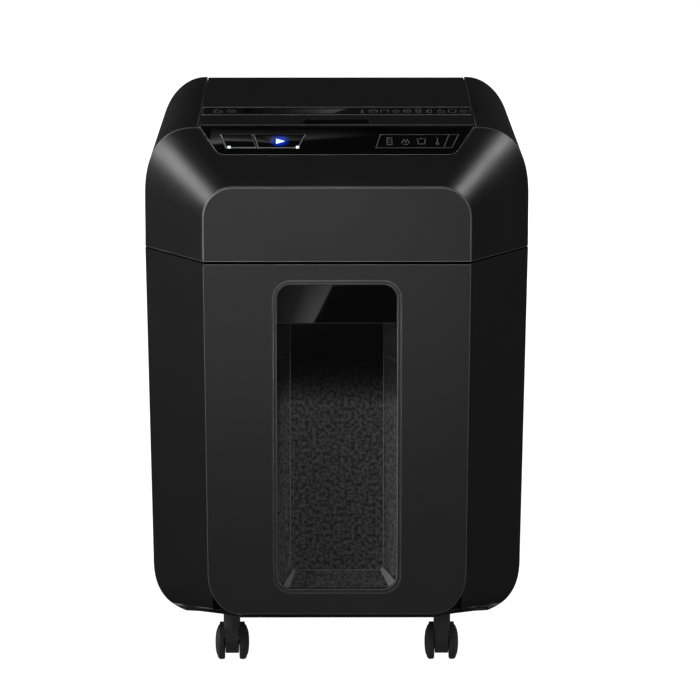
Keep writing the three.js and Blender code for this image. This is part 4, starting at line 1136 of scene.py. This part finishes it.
# ---------------------------------------------------------------- studio
CAMERA_PITCH, CAMERA_TURN = 12.08, 0.165  # degrees below level and to the right
CAMERA_PLACE = (-0.0109, -3.8016, 1.083)  # metres
FOCAL_SHARE = 5.61857  # focal length as a share of the sensor's width
SENSOR = 36.0


def make_camera():
    data = bpy.data.cameras.new("camera")
    data.sensor_width = SENSOR
    data.lens = FOCAL_SHARE * SENSOR
    data.shift_x = 0.0194
    data.clip_end = 200
    camera = added("camera", data)
    camera.location = CAMERA_PLACE
    camera.rotation_euler = (math.radians(90 - CAMERA_PITCH), 0, math.radians(-CAMERA_TURN))
    bpy.context.scene.camera = camera


def area_light(name, place, target, size, power, spread=180.0):
    data = bpy.data.lights.new(name, "AREA")
    data.shape = "RECTANGLE"
    data.size, data.size_y = size
    data.energy = power
    data.spread = math.radians(spread)
    light = added(name, data)
    light.location = place
    light.rotation_euler = (Vector(target) - Vector(place)).to_track_quat("-Z", "Y").to_euler()
    light.visible_camera = False
    return light


def unseen(obj, *ways):
    """Hides a stage object from some kinds of ray."""
    for way in ways:
        setattr(obj, f"visible_{way}", False)


def shining(name, strength):
    """A material that only gives light. strength is a number, or a mesh attribute's name."""
    material = bpy.data.materials.new(name)
    material.use_nodes = True
    nodes, links = material.node_tree.nodes, material.node_tree.links
    nodes.remove(nodes["Principled BSDF"])
    light = nodes.new("ShaderNodeEmission")
    if isinstance(strength, str):
        level = nodes.new("ShaderNodeAttribute")
        level.attribute_name = strength
        links.new(level.outputs["Fac"], light.inputs["Strength"])
    else:
        light.inputs["Strength"].default_value = strength
    links.new(light.outputs["Emission"], nodes["Material Output"].inputs["Surface"])
    return material


def gloss_card(name, corners, normal, levels):
    """A card that only gloss reflects.

    corners are where its reflection lies on a flat face, seen by the camera, in rows of equally
    many points in millimetres, and levels is the light at each."""
    eye, reach = Vector(CAMERA_PLACE), 0.3
    points = []
    for corner in (c for row in corners for c in row):
        ray = Vector(corner) * MM - eye
        away = ray - 2 * ray.dot(normal) * normal
        points.append(Vector(corner) * MM + away * reach)
    columns = len(corners[0])
    starts = [row * columns + i for row in range(len(corners) - 1) for i in range(columns - 1)]
    mesh = bpy.data.meshes.new(name)
    mesh.from_pydata(points, [], [(i, i + 1, columns + i + 1, columns + i) for i in starts])
    levels = [level for row in levels for level in row]
    mesh.attributes.new("level", "FLOAT", "POINT").data.foreach_set("value", levels)
    mesh.materials.append(shining(name, "level"))
    unseen(added(name, mesh), "camera", "diffuse", "transmission", "shadow")


def make_backdrop():
    size = 16.0
    mesh = bpy.data.meshes.new("floor")
    corners = [(-size, -size, 0), (size, -size, 0), (size, size, 0), (-size, size, 0)]
    mesh.from_pydata(corners, [], [(0, 1, 2, 3)])
    paint = surface("floor", grey(0.3), 0.9, specular=0.05, vary=0.01, patch=2)
    mesh.materials.append(lit(paint, (1, 1, 1), 1.0))
    unseen(added("floor", mesh), "diffuse", "glossy")

    work = bmesh.new()
    bmesh.ops.create_uvsphere(work, u_segments=48, v_segments=24, radius=size * 0.9)
    mesh = bpy.data.meshes.new("backdrop")
    work.to_mesh(mesh)
    work.free()
    mesh.materials.append(shining("backdrop", 1.0))
    unseen(added("backdrop", mesh), "diffuse", "glossy", "transmission", "shadow")


def make_sky():
    """A dim room: bright above, darker at the horizon, with a grey floor."""
    world = bpy.data.worlds.new("studio")
    bpy.context.scene.world = world
    world.use_nodes = True
    nodes, links = world.node_tree.nodes, world.node_tree.links
    height = nodes.new("ShaderNodeSeparateXYZ")
    links.new(nodes.new("ShaderNodeTexCoord").outputs["Generated"], height.inputs["Vector"])
    ramp = nodes.new("ShaderNodeValToRGB")
    links.new(span_node(world, height.outputs["Z"], -1, 1).outputs["Result"], ramp.inputs["Fac"])
    set_stops(ramp, ((0.0, 0.10), (0.42, 0.10), (0.50, 0.03), (0.62, 0.025), (0.80, 0.03), (1.0, 0.05)))
    background = nodes["Background"]
    links.new(ramp.outputs["Color"], background.inputs["Color"])
    background.inputs["Strength"].default_value = 1.0


def make_gloss_cards():
    low, high = box("handle_panel")
    face_y, top, bottom = low.y, high.z + 2, low.z - 2
    gloss_card(
        "handle_card",
        [[(-60, face_y, top), (-30, face_y, top), (-3.0, face_y, top)],
         [(-60, face_y, bottom), (-45, face_y, bottom), (-22.5, face_y, bottom)]],
        Vector((0, -1, 0)), [[0.2, 1.0, 3.9], [0.3, 1.1, 5.2]],
    )

    across = (-119, -28, -6, 46)
    slope_normal = (ON_SLOPE.to_3x3() @ Vector((0, 0, 1))).normalized()
    gloss_card(
        "panel_card",
        [[on_slope(a, 1, PANEL_FACE) for a in across],
         [on_slope(a, b, PANEL_FACE) for a, b in zip(across, (-15, -12, -10, -7))],
         [on_slope(a, b, PANEL_FACE) for a, b in zip(across, (-26, -20.5, -18.5, -13.5))]],
        slope_normal, [[0, 0, 0, 0], [0.7, 0.3, 0.2, 0], [4.2, 1.5, 0.8, 0]],
    )

    rear, fore = Vector((0, *STRIP_REAR)), Vector((0, *STRIP_FORE))
    tilt = (rear - fore).normalized()
    gloss_card(
        "strip_card",
        [[rear + Vector((a, 0, 0)) for a in (-90, -45, -18, 10)],
         [fore + Vector((a, 0, 0)) for a in (-90, -45, -18, -4)]],
        Vector((0, -tilt.z, tilt.y)), [[0, 0.06, 0.16, 0.3], [0, 0.06, 0.18, 0.38]],
    )


def make_studio():
    bpy.context.scene.view_settings.view_transform = "Standard"
    make_backdrop()
    make_sky()
    make_gloss_cards()
    # Broad lights, which the gloss doesn't show.
    soft = [
        area_light("overhead", (0, 1.7, 2.9), (0, 0, 0.4), (1.6, 1.6), 11),
        area_light("front_fill", (0, -4.0, 0.6), (0, 0, 0.3), (2.5, 1.2), 40),
        area_light("key", (-0.45, -1.25, 0.42), (-0.05, -0.2, 0.50), (0.30, 0.18), 0.50, spread=38),
        area_light("left_box", (-3.0, -0.7, 0.8), (0, 0, 0.3), (1.4, 1.8), 70),
        area_light("right_box", (3.0, -0.4, 0.8), (0, 0, 0.3), (1.4, 1.8), 26),
        area_light("back_left", (-1.8, 3.4, 1.0), (0, 0, 0.3), (1.6, 1.6), 100),
        area_light("back_right", (1.8, 3.4, 1.0), (0, 0, 0.3), (1.6, 1.6), 80),
    ]
    for light in soft:
        light.visible_glossy = False
    # Strips that only the sheen of the head's corners shows.
    for light in (
        area_light("left_strip", (-2.24, 0.21, 1.60), (-0.15, -0.17, 0.46), (0.9, 0.9), 52),
        area_light("right_strip", (1.8, 0.21, 2.1), (0.15, -0.17, 0.46), (0.9, 0.7), 42),
    ):
        light.visible_diffuse = False


make_camera()
make_studio()
make_side_panels()
make_rear_panels()
make_shoulders()
make_bezel()
make_front_panels()
make_window()
make_tub()
make_paper()
make_control_panel()
make_lid()
make_leaf_spring()
make_top_ribs()
make_base()
for corner_name in CASTER_PLACES:
    make_caster(corner_name)
make_feed()
dress_nodes()
